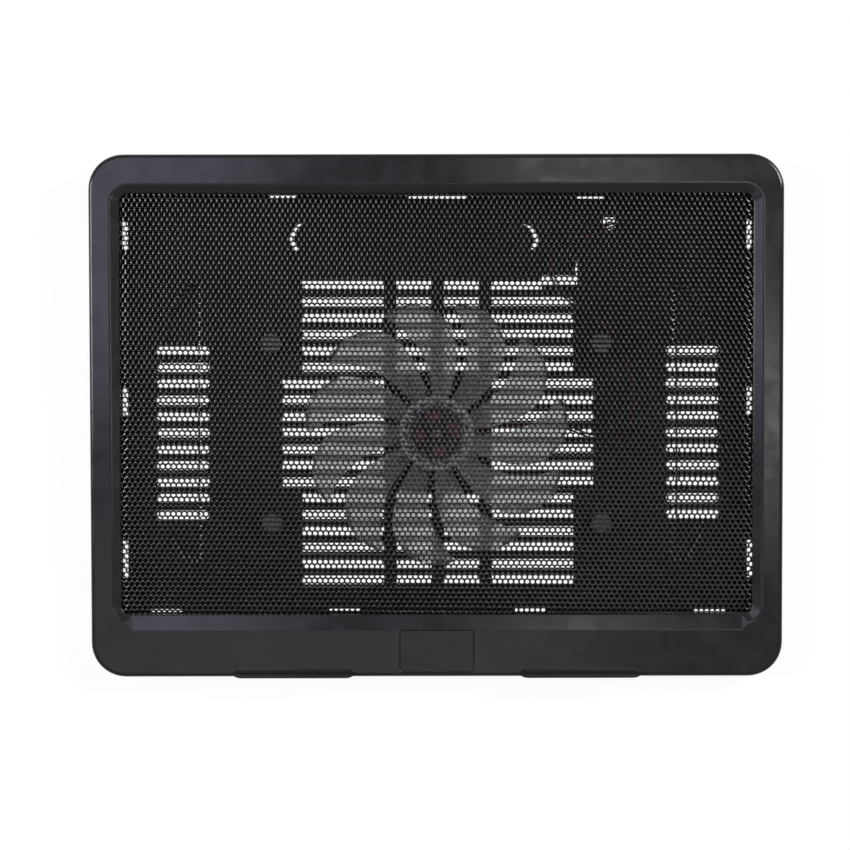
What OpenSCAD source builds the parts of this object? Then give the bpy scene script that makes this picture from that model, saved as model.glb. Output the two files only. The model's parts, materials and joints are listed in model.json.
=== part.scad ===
// Laptop cooling pad: a wedge-shaped plastic housing with a perforated steel deck, one large
// slow fan under the deck and a fold-out stand at the rear of the base.
// Millimetres. +X is the user's right, +Y is the rear, +Z is up, and the desk is z = 0.

/* [Housing] */
// Width of the housing
pad_w = 350; // [334:1:380]
// Depth of the housing, measured along the sloping deck
pad_d = 264; // [260:1:284]
// Height of the housing's front edge above its underside
body_h = 16; // [15.5:0.5:22]
// Slope of the deck in degrees
deck_tilt = 3; // [2.5:0.25:5]
// Corner radius of the housing in plan
corner_r = 17.5; // [15:0.5:22]
// Rounding of the deck's outer edge
edge_r = 2; // [1.2:0.1:2.4]
// Thickness of the housing's side walls
wall_t = 2; // [1.8:0.1:2.4]
// Thickness of the top frame's plate
plate_t = 2.2; // [2:0.1:2.8]
// Thickness of the base's floor
floor_t = 2.2; // [1.8:0.1:2.8]
// Height of the rubber feet under the base
foot_h = 4.5; // [3:0.25:7]
// Height of the base's wall above its underside
base_h = 6.5; // [6:0.1:7]

/* [Deck] */
// Width of the flat border at each side of the deck
side_flat = 10.5; // [10:0.1:12]
// Width of the flat border at the rear
rear_flat = 14.8; // [14.5:0.1:18]
// Width of the flat border at the front
front_flat = 26.7; // [25:0.1:30]
// Width of the band that slopes down from the border to the mesh
band_w = 4.8; // [4:0.1:5]
// Width of the longer ramp in front of the mesh
ramp_w = 7.8; // [6:0.1:9]
// Corner radius of the mesh opening
open_r = 5; // [4:0.5:7]
// Thickness of the perforated sheet
mesh_t = 0.8; // [0.6:0.1:1]
// Diameter of one perforation in the real sheet
hole_d = 2.05; // [1.6:0.05:2.2]
// Pitch of the perforations in the real sheet
hole_pitch = 2.77; // [2.6:0.01:3.2]
// How many real perforations one modelled hole stands for, along each row
hole_group = 6; // [5:1:8]
// Length of each front stop that keeps the laptop from sliding
stop_len = 61; // [45:1:70]
// Distance of each front stop's middle from the centre line
stop_x = 72.5; // [65:0.5:85]
// Height of the front stops above the deck
stop_h = 5; // [4:0.25:7]
// Width of the blank badge
badge_w = 37; // [30:0.5:44]
// Depth of the blank badge
badge_d = 21; // [16:0.5:22]

/* [Fan] */
// Distance of the fan's axis in front of the housing's middle
fan_front = 8.5; // [6:0.5:10]
// Radius at the blade tips
tip_r = 67; // [60:0.5:68]
// Number of blades
blade_n = 11; // [7:1:11]
// Height of the blades
blade_h = 9; // [8:0.25:9]
// Thickness of a blade at the middle of its chord
blade_t = 1.3; // [1.1:0.05:1.6]
// Angle that one blade covers in plan
blade_span = 25; // [20:0.5:26]
// Angle by which a blade's tip is swept round from its root
blade_sweep = 20; // [10:1:24]
// Radius of the fan's hub
hub_r = 19; // [18.8:0.1:20]
// Radius of the fan's shaft
shaft_r = 1.5; // [1.4:0.05:1.6]

/* [Vents] */
// Pitch of the rows of vents in the floor
row_pitch = 8.37; // [8.2:0.01:8.6]
// Width of one vent slot
slot_w = 4.5; // [3.6:0.1:4.8]

/* [Stand] */
// Half length of the stand's foot bar
stand_half = 70.5; // [64:0.5:72]
// Thickness of the stand
stand_t = 4.2; // [4:0.1:4.6]
// Radius of the stand's hinge pin
pin_r = 1.2; // [1:0.05:1.3]

/* [Hidden] */
$fn = 64;
tilt_s = sin(deck_tilt);
tilt_c = cos(deck_tilt);
stop_over = 0.2;
stop_r = 1;
stop_top = 2.2;
stop_lean = 0.4;
stop_fillet = 1.8;
stop_back = stop_top + stop_lean + stop_fillet;
stop_end = 5;
stop_root = 4;
front_h = foot_h + body_h;
rear_y = pad_d / 2;
part_z = foot_h + base_h;
floor_z = foot_h + floor_t;
reveal = 0.5;
fit_gap = 0.2;
far = 900;

// The deck's middle, placed so that the finished pad's box is centred on the origin
skirt_rear_w = (part_z - front_h - pad_d * tilt_s) / tilt_c;
skirt_front_w = (part_z - front_h) / tilt_c;
rear_reach = pad_d / 2 * tilt_c - skirt_rear_w * tilt_s;
front_reach = (pad_d / 2 + stop_over - stop_r) * tilt_c + (stop_h - stop_r) * tilt_s + stop_r;
deck_y = (front_reach - rear_reach) / 2;
deck_z = front_h + pad_d / 2 * tilt_s;

// The base's outline, a little inside the skirt of the top frame
base_rear = rear_reach - reveal;
base_front = -pad_d / 2 * tilt_c - skirt_front_w * tilt_s + reveal;
base_w = pad_w - 2 * reveal;
base_d = base_rear - base_front;
base_mid = (base_rear + base_front) / 2;
base_r = corner_r - reveal;
base_cut = 3.5;
base_lap = base_cut + 3;

// The mesh opening and the sheet under its edge
open_w = pad_w - 2 * (side_flat + band_w);
open_d = pad_d - rear_flat - front_flat - 2 * band_w;
open_mid = (front_flat - rear_flat) / 2;
lip_top = -1.3;
lip_r = 0.45;
band_r = 6.5;
open_front = open_mid - open_d / 2;
lip_low = -2.1;
sheet_top = lip_low - fit_gap;
sheet_low = sheet_top - mesh_t;
sheet_lap = 6.4;
rib_in = sheet_lap + 0.5;
rib_out = rib_in + 2;
badge_mid = -pad_d / 2 + front_flat / 2 - 0.4;
badge_depth = 1;

// Heights in the fan, from the floor up
fan_y = -fan_front;
carrier_top = floor_z + 1.4;
board_low = carrier_top + 0.3;
board_top = board_low + 0.8;
rotor_low = board_top + 0.6;
rotor_top = rotor_low + blade_h;
hub_cap = 1.6;
hub_wall = 2;
cap_low = rotor_top - hub_cap;
yoke_r = hub_r - hub_wall - 0.1;
yoke_t = 1.1;
magnet_r = yoke_r - yoke_t - 0.1;
magnet_t = 1.5;
stator_r = magnet_r - magnet_t - 0.4;
stack_low = rotor_low + 1.7;
stack_top = stack_low + 3.2;
shoe_t = 1.6;
coil_half = 3.2;
tube_r = shaft_r + 2.5;
sleeve_r = shaft_r + 1.1;
carrier_r = 25;
board_post_at = 12.5;
board_post_r = 1.6;
lead_slot_in = 9;
lead_slot_low = -1.4;
lead_slot_w = 6.4;
blade_steps = 6;
chord_steps = 8;
tip_cut = 11;
tip_cut_to = 0.45;
tip_round = 2.5;
tip_round_from = 0.75;
blade_turn = 18.5;
shaft_end = floor_z + 0.75;

// The stand and its pocket in the base, in the housing's plan
tab_end = rear_y - 37.8;
stand_y1 = tab_end - 11;
stand_y0 = stand_y1 - 10.6;
tab_half0 = 32;
tab_half1 = 19.6;
hinge_y = tab_end - stand_t / 2;
hinge_z = foot_h + 0.4 + stand_t / 2;
neck_y = hinge_y - 4;
pocket_gap = 0.6;
pocket_rear = 1.2;
pocket_neck = neck_y + 1.6;
pocket_wall = 1.4;
pocket_top = hinge_z + stand_t / 2 + pocket_gap;
roof_top = pocket_top + 1.6;
notch_x = 54;
notch_y = stand_y0 + 5.4;
notch_front = stand_y0 - 5.2;
notch_end = stand_half + 1.7;
pin_half = tab_half1 + 5;
tread_w = 2.6;
tread_x = -48;
tread_len = 92;

// Places of the vents' ends, measured from the middle of the rows
vents_dx = 0.7;
vents_dy = 0.35;
vent_core = 3.3;
vent_col = 21.1;
vent_in = 27.6;
vent_out = 69.2;
vent_wide = 79.4;
vent_cut = 53.3;
side_in = 116.7;
side_out = 143.7;

// Openings along the edge of the sheet: start and length, and the width of those at the rear
rear_slots = [[-84.9, 14, 1.8], [-13.9, 29.2, 1.4], [72.2, 14, 1.1]];
rear_slots_in = 1;
front_slots = [[-146.3, 16], [-54.8, 16], [40.1, 16], [131.7, 16]];
front_slots_up = 1.5;
front_slots_w = 1.5;
side_slots = [[85.4, 14.6], [1, 14], [-82.4, 19]];
side_slots_dx = 0.5;
side_slots_w = 2.8;

// Ribs on the base's floor
rib_x = 121.6;
rib_h = 0.8;
bar_w = 0.9;
bar_half = 52;

// Fixings
post_out = pad_w / 2 - 25;
post_xs = [-post_out, -60, 60, post_out];
post_front = -pad_d / 2 + 14;
post_rear = pad_d / 2 - 7;
screw_r = 1.25;
head_r = 2.4;
head_h = 1.8;
seat_z = foot_h + 2.4;
screw_top = part_z + 6;
rest_x = 83.5;
rest_dy = 45.5;
rest_r = 5;
pad_h = 1.6;

// The fan's lead, from under the circuit board to the cord gland, in the housing's plan
wire_r = 0.55;
wire_gap = 0.75;
wire_z = floor_z + wire_r + 0.1;
over_z = roof_top + wire_r + 0.1;
lead_route = [
    [14, -8, wire_z], [21, -6.5, wire_z], [34, -4.4, wire_z], [52, -4.2, wire_z],
    [66, -5.4, wire_z], [79, -10, wire_z], [92, -10, wire_z], [99, 0, wire_z],
    [100, 14, wire_z], [97, 27, wire_z], [92.5, 38, wire_z], [86, 46, wire_z],
    [77, rear_y - 79, wire_z + 1], [66, rear_y - 71, over_z], [60, rear_y - 62, over_z],
    [58, rear_y - 54, over_z], [61, rear_y - 46, over_z], [70, rear_y - 41, over_z - 1],
    [79, rear_y - 38.5, wire_z + 2], [84.5, rear_y - 36.5, wire_z + 2.6],
    [91.2, rear_y - 34, wire_z + 2.6]
];
gland_x = 89;
gland_y = rear_y - 35;
gland_r = 2.7;
gland_bore = 1.9;
gland_low = foot_h - 0.9;
gland_top = floor_z + 1.2;
cord_cut_w = 3.5;
cord_cut_d = 4.8;
cord_cut_y = gland_y;

// Height of the deck's plane at a distance y behind the housing's middle
function deck_at(y) = deck_z + y * tan(deck_tilt);

// Height of a plane parallel to the deck, w above it
function plane_at(y, w) = deck_at(y) + w / tilt_c;

// Puts children, drawn flat with the deck at height 0, on the sloping deck
module on_deck() {
    translate([0, deck_y, deck_z]) rotate([deck_tilt, 0, 0]) children();
}

// Puts children, drawn in the housing's plan, at their place in the object
module in_house() {
    translate([0, deck_y, 0]) children();
}

// Puts children on the fan's axis
module on_axis() {
    translate([0, deck_y + fan_y, 0]) children();
}

// A rectangle with rounded corners
module rounded(w, d, r) {
    square([w - 2 * r, d], center = true);
    square([w, d - 2 * r], center = true);
    for (x = [-1, 1], y = [-1, 1])
        translate([x * (w / 2 - r), y * (d / 2 - r)]) circle(r);
}

// Sweeps a profile round a rounded rectangle: profile x is the distance out from the outline
module swept(w, d, r) {
    for (s = [0, 180]) rotate(s) {
        translate([w / 2, 0, 0]) rotate([90, 0, 0])
            linear_extrude(d - 2 * r, center = true) children();
        translate([0, d / 2, 0]) rotate([90, 0, 90])
            linear_extrude(w - 2 * r, center = true) children();
        translate([w / 2 - r, d / 2 - r, 0])
            rotate_extrude(angle = 90) translate([r, 0]) children();
        translate([-w / 2 + r, d / 2 - r, 0]) rotate(90)
            rotate_extrude(angle = 90) translate([r, 0]) children();
    }
}

// Half space above a plane parallel to the deck, w above it
module above_deck(w) {
    on_deck() translate([-far / 2, -far / 2, w]) cube([far, far, far]);
}

// Profile of the frame's outer wall and the plate's rounded edge
module skirt_profile() {
    translate([-wall_t, -60]) square([wall_t, 60 - edge_r]);
    translate([-9, -plate_t]) square([9 - edge_r, plate_t]);
    translate([-edge_r, -edge_r]) intersection() {
        circle(edge_r);
        square(edge_r);
    }
    translate([-wall_t - 0.4, -plate_t]) square([wall_t + 0.4 - edge_r, plate_t - edge_r + 0.2]);
}

// Points on an arc, from angle a to angle b
function arc(x, y, r, a, b, steps) =
    [for (k = [0:steps]) let (t = a + (b - a) * k / steps) [x + r * cos(t), y + r * sin(t)]];

// Profile of the sloping band, the lip over the sheet's edge and the rib beside the sheet: the
// lip's edge and the band's upper edge are rounded
module band_profile() {
    slope = atan2(-lip_top, band_w);
    polygon(concat(
        arc(lip_r, lip_top + lip_r * tan(slope) - lip_r / cos(slope), lip_r, 180, 90 + slope, 5),
        arc(band_w + band_r * tan(slope / 2), -band_r, band_r, 90 + slope, 90, 6),
        [[rib_out + 1, 0], [rib_out + 1, -plate_t], [rib_out, -plate_t], [rib_out, sheet_low - 1],
            [rib_in, sheet_low - 1], [rib_in, lip_low], [0, lip_low]]));
}

// Cut that makes the longer ramp in front of the mesh, shallower towards its ends
module front_ramp() {
    inside = 2;
    end = open_w / 2 - open_r;
    tip = open_w / 2 + band_w;
    rear = open_front + inside;
    front = open_front - ramp_w;
    low = lip_top * (ramp_w + inside) / ramp_w;
    plan = [[-tip, rear], [-end, front], [end, front], [tip, rear]];
    polyhedron(
        points = concat([[-end, rear, low], [end, rear, low]], [for (p = plan) [p[0], p[1], 0]],
            [for (p = plan) [p[0], p[1], 1]]),
        faces = [[0, 4, 1], [0, 3, 4], [0, 2, 3], [1, 4, 5], [6, 8, 7], [6, 9, 8], [2, 7, 3], [2, 6, 7],
            [3, 8, 4], [3, 7, 8], [4, 9, 5], [4, 8, 9], [0, 6, 2], [0, 9, 6], [0, 5, 9], [0, 1, 5]]);
}

// Profile of a front stop: a blunt top, a steep rear face and a fillet on the deck
module stop_profile() {
    wall = stop_top + stop_lean;
    polygon(concat([[0, -stop_root]],
        arc(stop_r, stop_h - stop_r, stop_r, 180, 90, 6),
        arc(stop_top - stop_r, stop_h - stop_r, stop_r, 90, 0, 6),
        arc(wall + stop_fillet, stop_fillet, stop_fillet, 180, 270, 8),
        [[stop_back, -stop_root]]));
}

// One front stop, its ends drawn in to blunt points in plan
module front_stop() {
    front = -pad_d / 2 - stop_over;
    straight = stop_len / 2 - stop_end;
    ends = [for (t = [-90:15:90]) [straight + stop_end * cos(t), stop_back / 2 * sin(t)]];
    intersection() {
        translate([0, front, 0]) rotate([90, 0, 90])
            linear_extrude(stop_len, center = true) stop_profile();
        translate([0, front + stop_back / 2, -2 * stop_root]) linear_extrude(6 * stop_root)
            polygon(concat(ends, [for (q = ends) -q]));
    }
}

// The top frame: skirt, border, sloping band, front stops and screw bosses
module top_frame() {
    color([0.16, 0.16, 0.17]) difference() {
        union() {
            difference() {
                on_deck() {
                    swept(pad_w, pad_d, corner_r) skirt_profile();
                    translate([0, 0, -plate_t]) linear_extrude(plate_t) difference() {
                        rounded(pad_w - 14, pad_d - 14, corner_r - 7);
                        translate([0, open_mid]) rounded(open_w + 2 * rib_out + 1,
                            open_d + 2 * rib_out + 1, open_r + rib_out + 0.5);
                    }
                    translate([0, open_mid, 0]) swept(open_w, open_d, open_r) band_profile();
                    for (s = [-1, 1]) translate([s * stop_x, 0, 0]) front_stop();
                }
                translate([-far / 2, -far / 2, part_z - far]) cube([far, far, far]);
            }
            in_house() for (x = post_xs, y = [post_front, post_rear])
                translate([x, y, part_z]) cylinder(r = 3.2, h = deck_at(y) - plate_t / 2 - part_z);
        }
        on_deck() translate([0, badge_mid, -badge_depth])
            linear_extrude(badge_depth + 1) rounded(badge_w + 0.5, badge_d + 0.5, 2);
        on_deck() front_ramp();
        in_house() for (x = post_xs, y = [post_front, post_rear])
            translate([x, y, part_z - 1]) cylinder(r = screw_r + 0.06, h = 8);
    }
}

// The perforated sheet that carries the laptop
module mesh_panel() {
    pitch = hole_pitch * hole_group;
    size = hole_d * hole_group;
    rise = pitch * sin(60);
    cols = floor((open_w / 2 - size / 2 - 3) / pitch);
    rows = floor((open_d / 2 - size / 2 - 3) / rise);
    color([0.1, 0.1, 0.1]) on_deck() translate([0, open_mid, sheet_low]) linear_extrude(mesh_t)
        difference() {
            rounded(open_w + 2 * sheet_lap, open_d + 2 * sheet_lap, open_r + sheet_lap);
            for (j = [-rows:rows], i = [-cols:cols]) {
                shift = (abs(j) % 2) * 0.5;
                if (i + shift <= cols) translate([(i + shift) * pitch, j * rise]) circle(d = size);
            }
        }
}

// A blank plate in the recess at the middle of the front border
module badge_plate() {
    color([0.14, 0.14, 0.15]) on_deck() translate([0, badge_mid, -badge_depth + 0.02])
        linear_extrude(badge_depth) rounded(badge_w, badge_d, 1.75);
}

// The stand's plan, grown by g on every side: a foot bar and a tab that narrows up to y = neck and
// runs straight from there to y = end
module stand_plan(g, neck, end) {
    translate([0, (stand_y0 + stand_y1) / 2])
        rounded(2 * (stand_half + g), stand_y1 - stand_y0 + 2 * g, 3 + g);
    half = [[tab_half0 + g, stand_y1 - 2], [tab_half0 + g, stand_y1 + g], [tab_half1 + g, neck],
        [tab_half1 + g, end]];
    polygon(concat(half, [for (k = [3:-1:0]) [-half[k][0], half[k][1]]]));
}

// A slot with round ends between two x positions, centred on y
module long_slot(x0, x1, y, w) {
    translate([x0 + w / 2, y - w / 2]) square([x1 - x0 - w, w]);
    for (x = [x0 + w / 2, x1 - w / 2]) translate([x, y]) circle(d = w);
}

// The rows of vents under the fan and at both sides
module vents() {
    last_y = stand_y0 - pocket_gap - pocket_wall - 1 - slot_w / 2;
    for (k = [-9:9]) {
        y = fan_y + vents_dy - k * row_pitch;
        if (y < last_y) for (s = [-1, 1]) {
            if (abs(k) <= 3)
                vent(s, vent_in, vent_wide, y);
            else {
                vent(s, vent_in, s > 0 && k == -9 ? vent_cut : vent_out, y);
                vent(s, vent_core, vent_col, y);
            }
            if (abs(k) <= 5) translate([vents_dx, 0])
                long_slot(s > 0 ? side_in : -side_out, s > 0 ? side_out : -side_in, y, slot_w);
        }
    }
}

// One vent of a row, on the side s, between two distances from the rows' middle
module vent(s, near, far, y) {
    translate([vents_dx + (s > 0 ? near : -far), y - slot_w / 2]) square([far - near, slot_w]);
}

// Narrow openings in the floor along the edge of the mesh
module edge_slots() {
    rear = open_mid + open_d / 2 - rear_slots_in;
    front = open_front + front_slots_up;
    side = open_w / 2 - 0.1;
    for (e = rear_slots) translate([e[0], rear]) square([e[1], e[2]]);
    for (e = front_slots) translate([e[0], front - front_slots_w / 2]) square([e[1], front_slots_w]);
    for (s = [-1, 1], e = side_slots)
        translate([s * side + side_slots_dx - side_slots_w / 2, e[0]]) square([side_slots_w, e[1]]);
}

// A crescent opening: the part of a disc that a shifted disc leaves free
module crescent(x, y, s) {
    translate([x, y]) difference() {
        circle(8.1);
        translate([-s * 2.8, 0]) circle(8.6);
        translate([-s * 10, 0]) square([20, 40], center = true);
    }
}

// All openings through the floor
module floor_cuts() {
    vents();
    edge_slots();
    crescent(-66.7, tab_end - 2.9, -1);
    crescent(44.1, tab_end - 3.9, 1);
    translate([gland_x - cord_cut_w, cord_cut_y]) square([cord_cut_w, cord_cut_d]);
    translate([gland_x - cord_cut_w, gland_y + gland_r - 0.6])
        square([cord_cut_w + gland_bore + 0.5, cord_cut_d + cord_cut_y - gland_y - gland_r + 0.6]);
}

// Low ribs on the floor: the step round each side vent and the edges of the foot platforms
module floor_ribs() {
    for (s = [-1, 1]) translate([vents_dx, 0]) scale([s, 1]) difference() {
        polygon([[rib_x, 68], [136.8, 52], [136.8, -60.5], [rib_x, -77.5]]);
        polygon([[rib_x + 1.2, 64.6], [135.6, 51.4], [135.6, -59.8], [rib_x + 1.2, -74.2]]);
    }
    translate([-86.2, rear_y - 54]) square([1.2, 23]);
    translate([63.6, rear_y - 43]) square([1.2, 13]);
    for (x = [-138, 137]) translate([x, rear_y - 69]) square([1.2, 38]);
}

// Thin bars that carry the inner ribs across the side vents
module vent_bars() {
    for (s = [-1, 1]) translate([vents_dx + s * (rib_x + bar_w / 2), 0, floor_z - 1.2 + (1.2 + rib_h) / 2])
        cube([bar_w, 2 * bar_half, 1.2 + rib_h], center = true);
}

// The base: tray, vents, posts, the stand's pocket and the seats for the feet
module base_shell() {
    color([0.13, 0.13, 0.14]) {
        in_house() vent_bars();
        base_tray();
    }
}

// The base without the bars across its side vents
module base_tray() {
    difference() {
        union() {
            translate([0, deck_y + base_mid, foot_h]) {
                swept(base_w, base_d, base_r)
                    polygon([[0, base_cut], [0, base_h], [-wall_t, base_h], [-wall_t, base_cut + 0.9],
                        [-base_cut - 0.6, floor_t], [-base_lap, floor_t], [-base_lap, 0], [-base_cut, 0]]);
                linear_extrude(floor_t)
                    rounded(base_w - 2 * base_lap, base_d - 2 * base_lap, base_r - base_lap);
            }
            in_house() {
                for (x = post_xs, y = [post_front, post_rear])
                    translate([x, y, foot_h + 0.5]) cylinder(r = 4, h = base_h - 0.5);
                for (x = [-rest_x, rest_x], y = [-rest_dy, rest_dy])
                    translate([x, fan_y + y, floor_z - 0.5])
                        cylinder(r = rest_r, h = rest_top(fan_y + y) - floor_z + 0.5);
                translate([0, 0, floor_z - 0.5]) linear_extrude(0.5 + rib_h) floor_ribs();
                translate([0, 0, floor_z - 0.5]) linear_extrude(roof_top - floor_z + 0.5)
                    stand_plan(pocket_gap + pocket_wall, tab_end, tab_end + pocket_rear + pocket_wall);
                for (s = [-1, 1]) translate([s * (tab_half1 + 3.6), hinge_y, hinge_z])
                    rotate([0, 90, 0]) cylinder(r = pin_r + 1.5, h = 6.2, center = true);
            }
        }
        in_house() {
            translate([0, 0, -1]) linear_extrude(floor_z + 4) floor_cuts();
            translate([0, 0, -1]) linear_extrude(roof_top + 3) {
                translate([notch_x, notch_front])
                    square([notch_end - notch_x, stand_y0 - pocket_gap - notch_front]);
                translate([stand_half + 0.4, notch_front]) square([notch_end - stand_half - 0.4, 12]);
            }
            translate([0, 0, -1]) linear_extrude(pocket_top + 1)
                stand_plan(pocket_gap, pocket_neck, tab_end + pocket_rear);
            for (x = post_xs, y = [post_front, post_rear]) translate([x, y, -1]) {
                cylinder(r = screw_r + 0.2, h = 20);
                cylinder(r = head_r + 0.3, h = seat_z + 1);
            }
            on_feet() foot_seat();
            translate([0, hinge_y, hinge_z]) rotate([0, 90, 0])
                cylinder(r = pin_r + 0.02, h = 2 * pin_half, center = true);
            translate([gland_x, gland_y, -1]) cylinder(r = gland_r - 0.55, h = 12);
            for (a = [90, 210, 330]) translate([0, fan_y, floor_z - 1.5]) rotate(a)
                translate([carrier_r - 3.4, 0, 0]) cylinder(r = 1.06, h = 4);
        }
    }
}

// Height of a mesh rest's post at a distance y behind the housing's middle
function rest_top(y) = plane_at(y, sheet_low - fit_gap) - pad_h - rest_r * tan(deck_tilt);

// Places of the four feet: plan position and length, the front pair first
foot_w = 11;
foot_sink = 0.7;
foot_bevel = 0.8;
foot_bevel_h = 1;
front_foot_len = 40;
rear_foot_len = 46;
front_foot_side = 57;
rear_foot_side = 64;
front_foot_edge = 20;
rear_foot_edge = 21;
foot_spots = [
    for (s = [-1, 1]) [s * (pad_w / 2 - front_foot_side), front_foot_edge - rear_y, front_foot_len],
    for (s = [-1, 1]) [s * (pad_w / 2 - rear_foot_side), rear_y - rear_foot_edge, rear_foot_len]
];

// Puts a seat at each of the four feet
module on_feet() {
    for (f = foot_spots) translate([f[0], f[1], 0]) {
        $foot_len = f[2];
        children();
    }
}

module foot_seat() {
    translate([0, 0, -1]) linear_extrude(foot_h + foot_sink + 1)
        long_slot(-$foot_len / 2 - 0.15, $foot_len / 2 + 0.15, 0, foot_w + 0.3);
}

// Rubber feet, from the first to the last of the listed spots
module feet(first, last) {
    color([0.08, 0.08, 0.08]) in_house() for (k = [first:last])
        translate([foot_spots[k][0], foot_spots[k][1], 0]) {
            len = foot_spots[k][2];
            translate([0, 0, foot_bevel_h]) linear_extrude(foot_h + foot_sink - foot_bevel_h)
                long_slot(-len / 2, len / 2, 0, foot_w);
            linear_extrude(foot_bevel_h + 0.1)
                long_slot(-len / 2 + foot_bevel, len / 2 - foot_bevel, 0, foot_w - 2 * foot_bevel);
        }
}

module front_feet() {
    feet(0, 1);
}

module rear_feet() {
    feet(2, 3);
}

// Soft discs between the posts and the underside of the sheet
module mesh_rests() {
    color([0.3, 0.3, 0.31]) difference() {
        in_house() for (x = [-rest_x, rest_x], y = [-rest_dy, rest_dy])
            translate([x, fan_y + y, rest_top(fan_y + y)]) cylinder(r = rest_r, h = pad_h + 3);
        above_deck(sheet_low - fit_gap);
    }
}

// Screws that join base and top frame, their heads sunk in the base
module housing_screws() {
    color([0.35, 0.35, 0.36]) in_house() for (x = post_xs, y = [post_front, post_rear])
        translate([x, y, 0]) difference() {
            union() {
                translate([0, 0, seat_z - head_h]) cylinder(r = head_r, h = head_h);
                translate([0, 0, seat_z - 0.1]) cylinder(r = screw_r, h = screw_top - seat_z + 0.1);
            }
            for (a = [0, 90]) translate([0, 0, seat_z - head_h]) rotate(a)
                cube([2.8, 0.7, 1.6], center = true);
        }
}

// Carrier of the fan's motor: a flange on the floor and the tube that holds the bearing
module motor_carrier() {
    color([0.12, 0.12, 0.12]) on_axis() difference() {
        union() {
            translate([0, 0, floor_z]) cylinder(r = carrier_r, h = carrier_top - floor_z);
            translate([0, 0, floor_z]) cylinder(r = tube_r, h = stack_top + 0.6 - floor_z);
            translate([0, 0, floor_z]) cylinder(r = tube_r + 2, h = board_low - floor_z);
            for (a = [45, 135, 225, 315]) rotate(a)
                translate([board_post_at, 0, floor_z])
                    cylinder(r = board_post_r, h = board_low - floor_z);
        }
        translate([0, 0, floor_z + 0.35]) cylinder(r = sleeve_r + 0.02, h = 40);
        for (a = [90, 210, 330]) rotate(a) translate([carrier_r - 3.4, 0, floor_z - 1]) {
            cylinder(r = 1.25, h = 5);
            translate([0, 0, 1.35]) cylinder(r1 = 1.15, r2 = 2.25, h = 1.1);
        }
        translate([lead_slot_in, lead_slot_low, floor_z - 1]) cube([carrier_r, lead_slot_w, 8]);
    }
}

// Countersunk screws through the carrier's flange
module carrier_screws() {
    color([0.5, 0.5, 0.5]) on_axis() for (a = [90, 210, 330]) rotate(a)
        translate([carrier_r - 3.4, 0, 0]) {
            translate([0, 0, floor_z - 1.4]) cylinder(r = 1, h = 2);
            translate([0, 0, floor_z + 0.4]) cylinder(r1 = 1, r2 = 1.95, h = 0.95);
        }
}

// Disc on which the shaft's end runs
module thrust_pad() {
    color([0.85, 0.85, 0.8]) on_axis()
        translate([0, 0, floor_z + 0.35]) cylinder(r = sleeve_r - 0.1, h = 0.35);
}

// Plain bearing in the carrier's tube
module bearing_sleeve() {
    color([0.65, 0.5, 0.3]) on_axis() difference() {
        translate([0, 0, shaft_end + 1]) cylinder(r = sleeve_r, h = stack_top - shaft_end - 1);
        cylinder(r = shaft_r + 0.03, h = 40);
    }
}

// Round circuit board under the stator
module motor_board() {
    color([0.1, 0.35, 0.2]) on_axis() difference() {
        translate([0, 0, board_low]) cylinder(r = stator_r + 0.6, h = board_top - board_low);
        cylinder(r = tube_r + 0.15, h = 40);
    }
}

// Sensor, driver and capacitor on the circuit board, between the coils
module board_parts() {
    color([0.06, 0.06, 0.06]) on_axis() translate([0, 0, board_top]) {
        rotate(45) translate([10.6, 0, 0.45]) cube([1.6, 3, 0.9], center = true);
        rotate(135) translate([9.6, 0, 0.5]) cube([3, 3, 1], center = true);
        rotate(225) translate([9.8, 0, 0]) cylinder(r = 1.5, h = 1.1);
        rotate(315) translate([9.8, 0, 0.4]) cube([2.2, 1.3, 0.8], center = true);
    }
}

// Stack of steel sheets with four poles
module stator_core() {
    color([0.3, 0.3, 0.32]) on_axis() translate([0, 0, stack_low]) linear_extrude(stack_top - stack_low)
        difference() {
            union() {
                circle(tube_r + 1.9);
                for (a = [0:90:270]) rotate(a + 10) {
                    translate([tube_r, -1.6]) square([stator_r - tube_r - 0.8, 3.2]);
                    intersection() {
                        circle(stator_r);
                        difference() {
                            polygon([[0, 0], [30, 18], [30, -18]]);
                            circle(stator_r - shoe_t);
                        }
                    }
                }
            }
            circle(tube_r + 0.04);
        }
}

// Copper windings round the four poles
module stator_coils() {
    coil_low = stack_low - 1.4;
    coil_high = stack_top + 1.4;
    reach = sqrt(pow(stator_r - shoe_t, 2) - pow(coil_half, 2)) - 0.15;
    color([0.72, 0.25, 0.14]) on_axis() for (a = [0:90:270]) rotate(a + 10)
        translate([tube_r + 2.4, 0, (coil_low + coil_high) / 2]) rotate([90, 0, 90])
            linear_extrude(reach - tube_r - 2.4) difference() {
                rounded(2 * coil_half, coil_high - coil_low, 1.4);
                square([3.3, stack_top - stack_low + 0.1], center = true);
            }
}

// Point on the smooth curve through four points, at t from 0 to 1 between the middle two
function smooth(p, q, r, s, t) = 0.5 * (2 * q + (r - p) * t + (2 * p - 5 * q + 4 * r - s) * t * t
    + (3 * q - p - 3 * r + s) * t * t * t);

function route_at(k) = lead_route[max(0, min(len(lead_route) - 1, k))];

route_steps = 3;
route_line = [for (k = [0:len(lead_route) - 2], t = [0:route_steps - 1])
    smooth(route_at(k - 1), route_at(k), route_at(k + 1), route_at(k + 2), t / route_steps),
    lead_route[len(lead_route) - 1]];

function along(line, k) = let (d = line[min(len(line) - 1, k + 1)] - line[max(0, k - 1)]) d / norm(d);

// Level direction across the line at point k
function across(line, k) = let (d = along(line, k)) [-d[1], d[0], 0] / norm([d[0], d[1]]);

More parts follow.
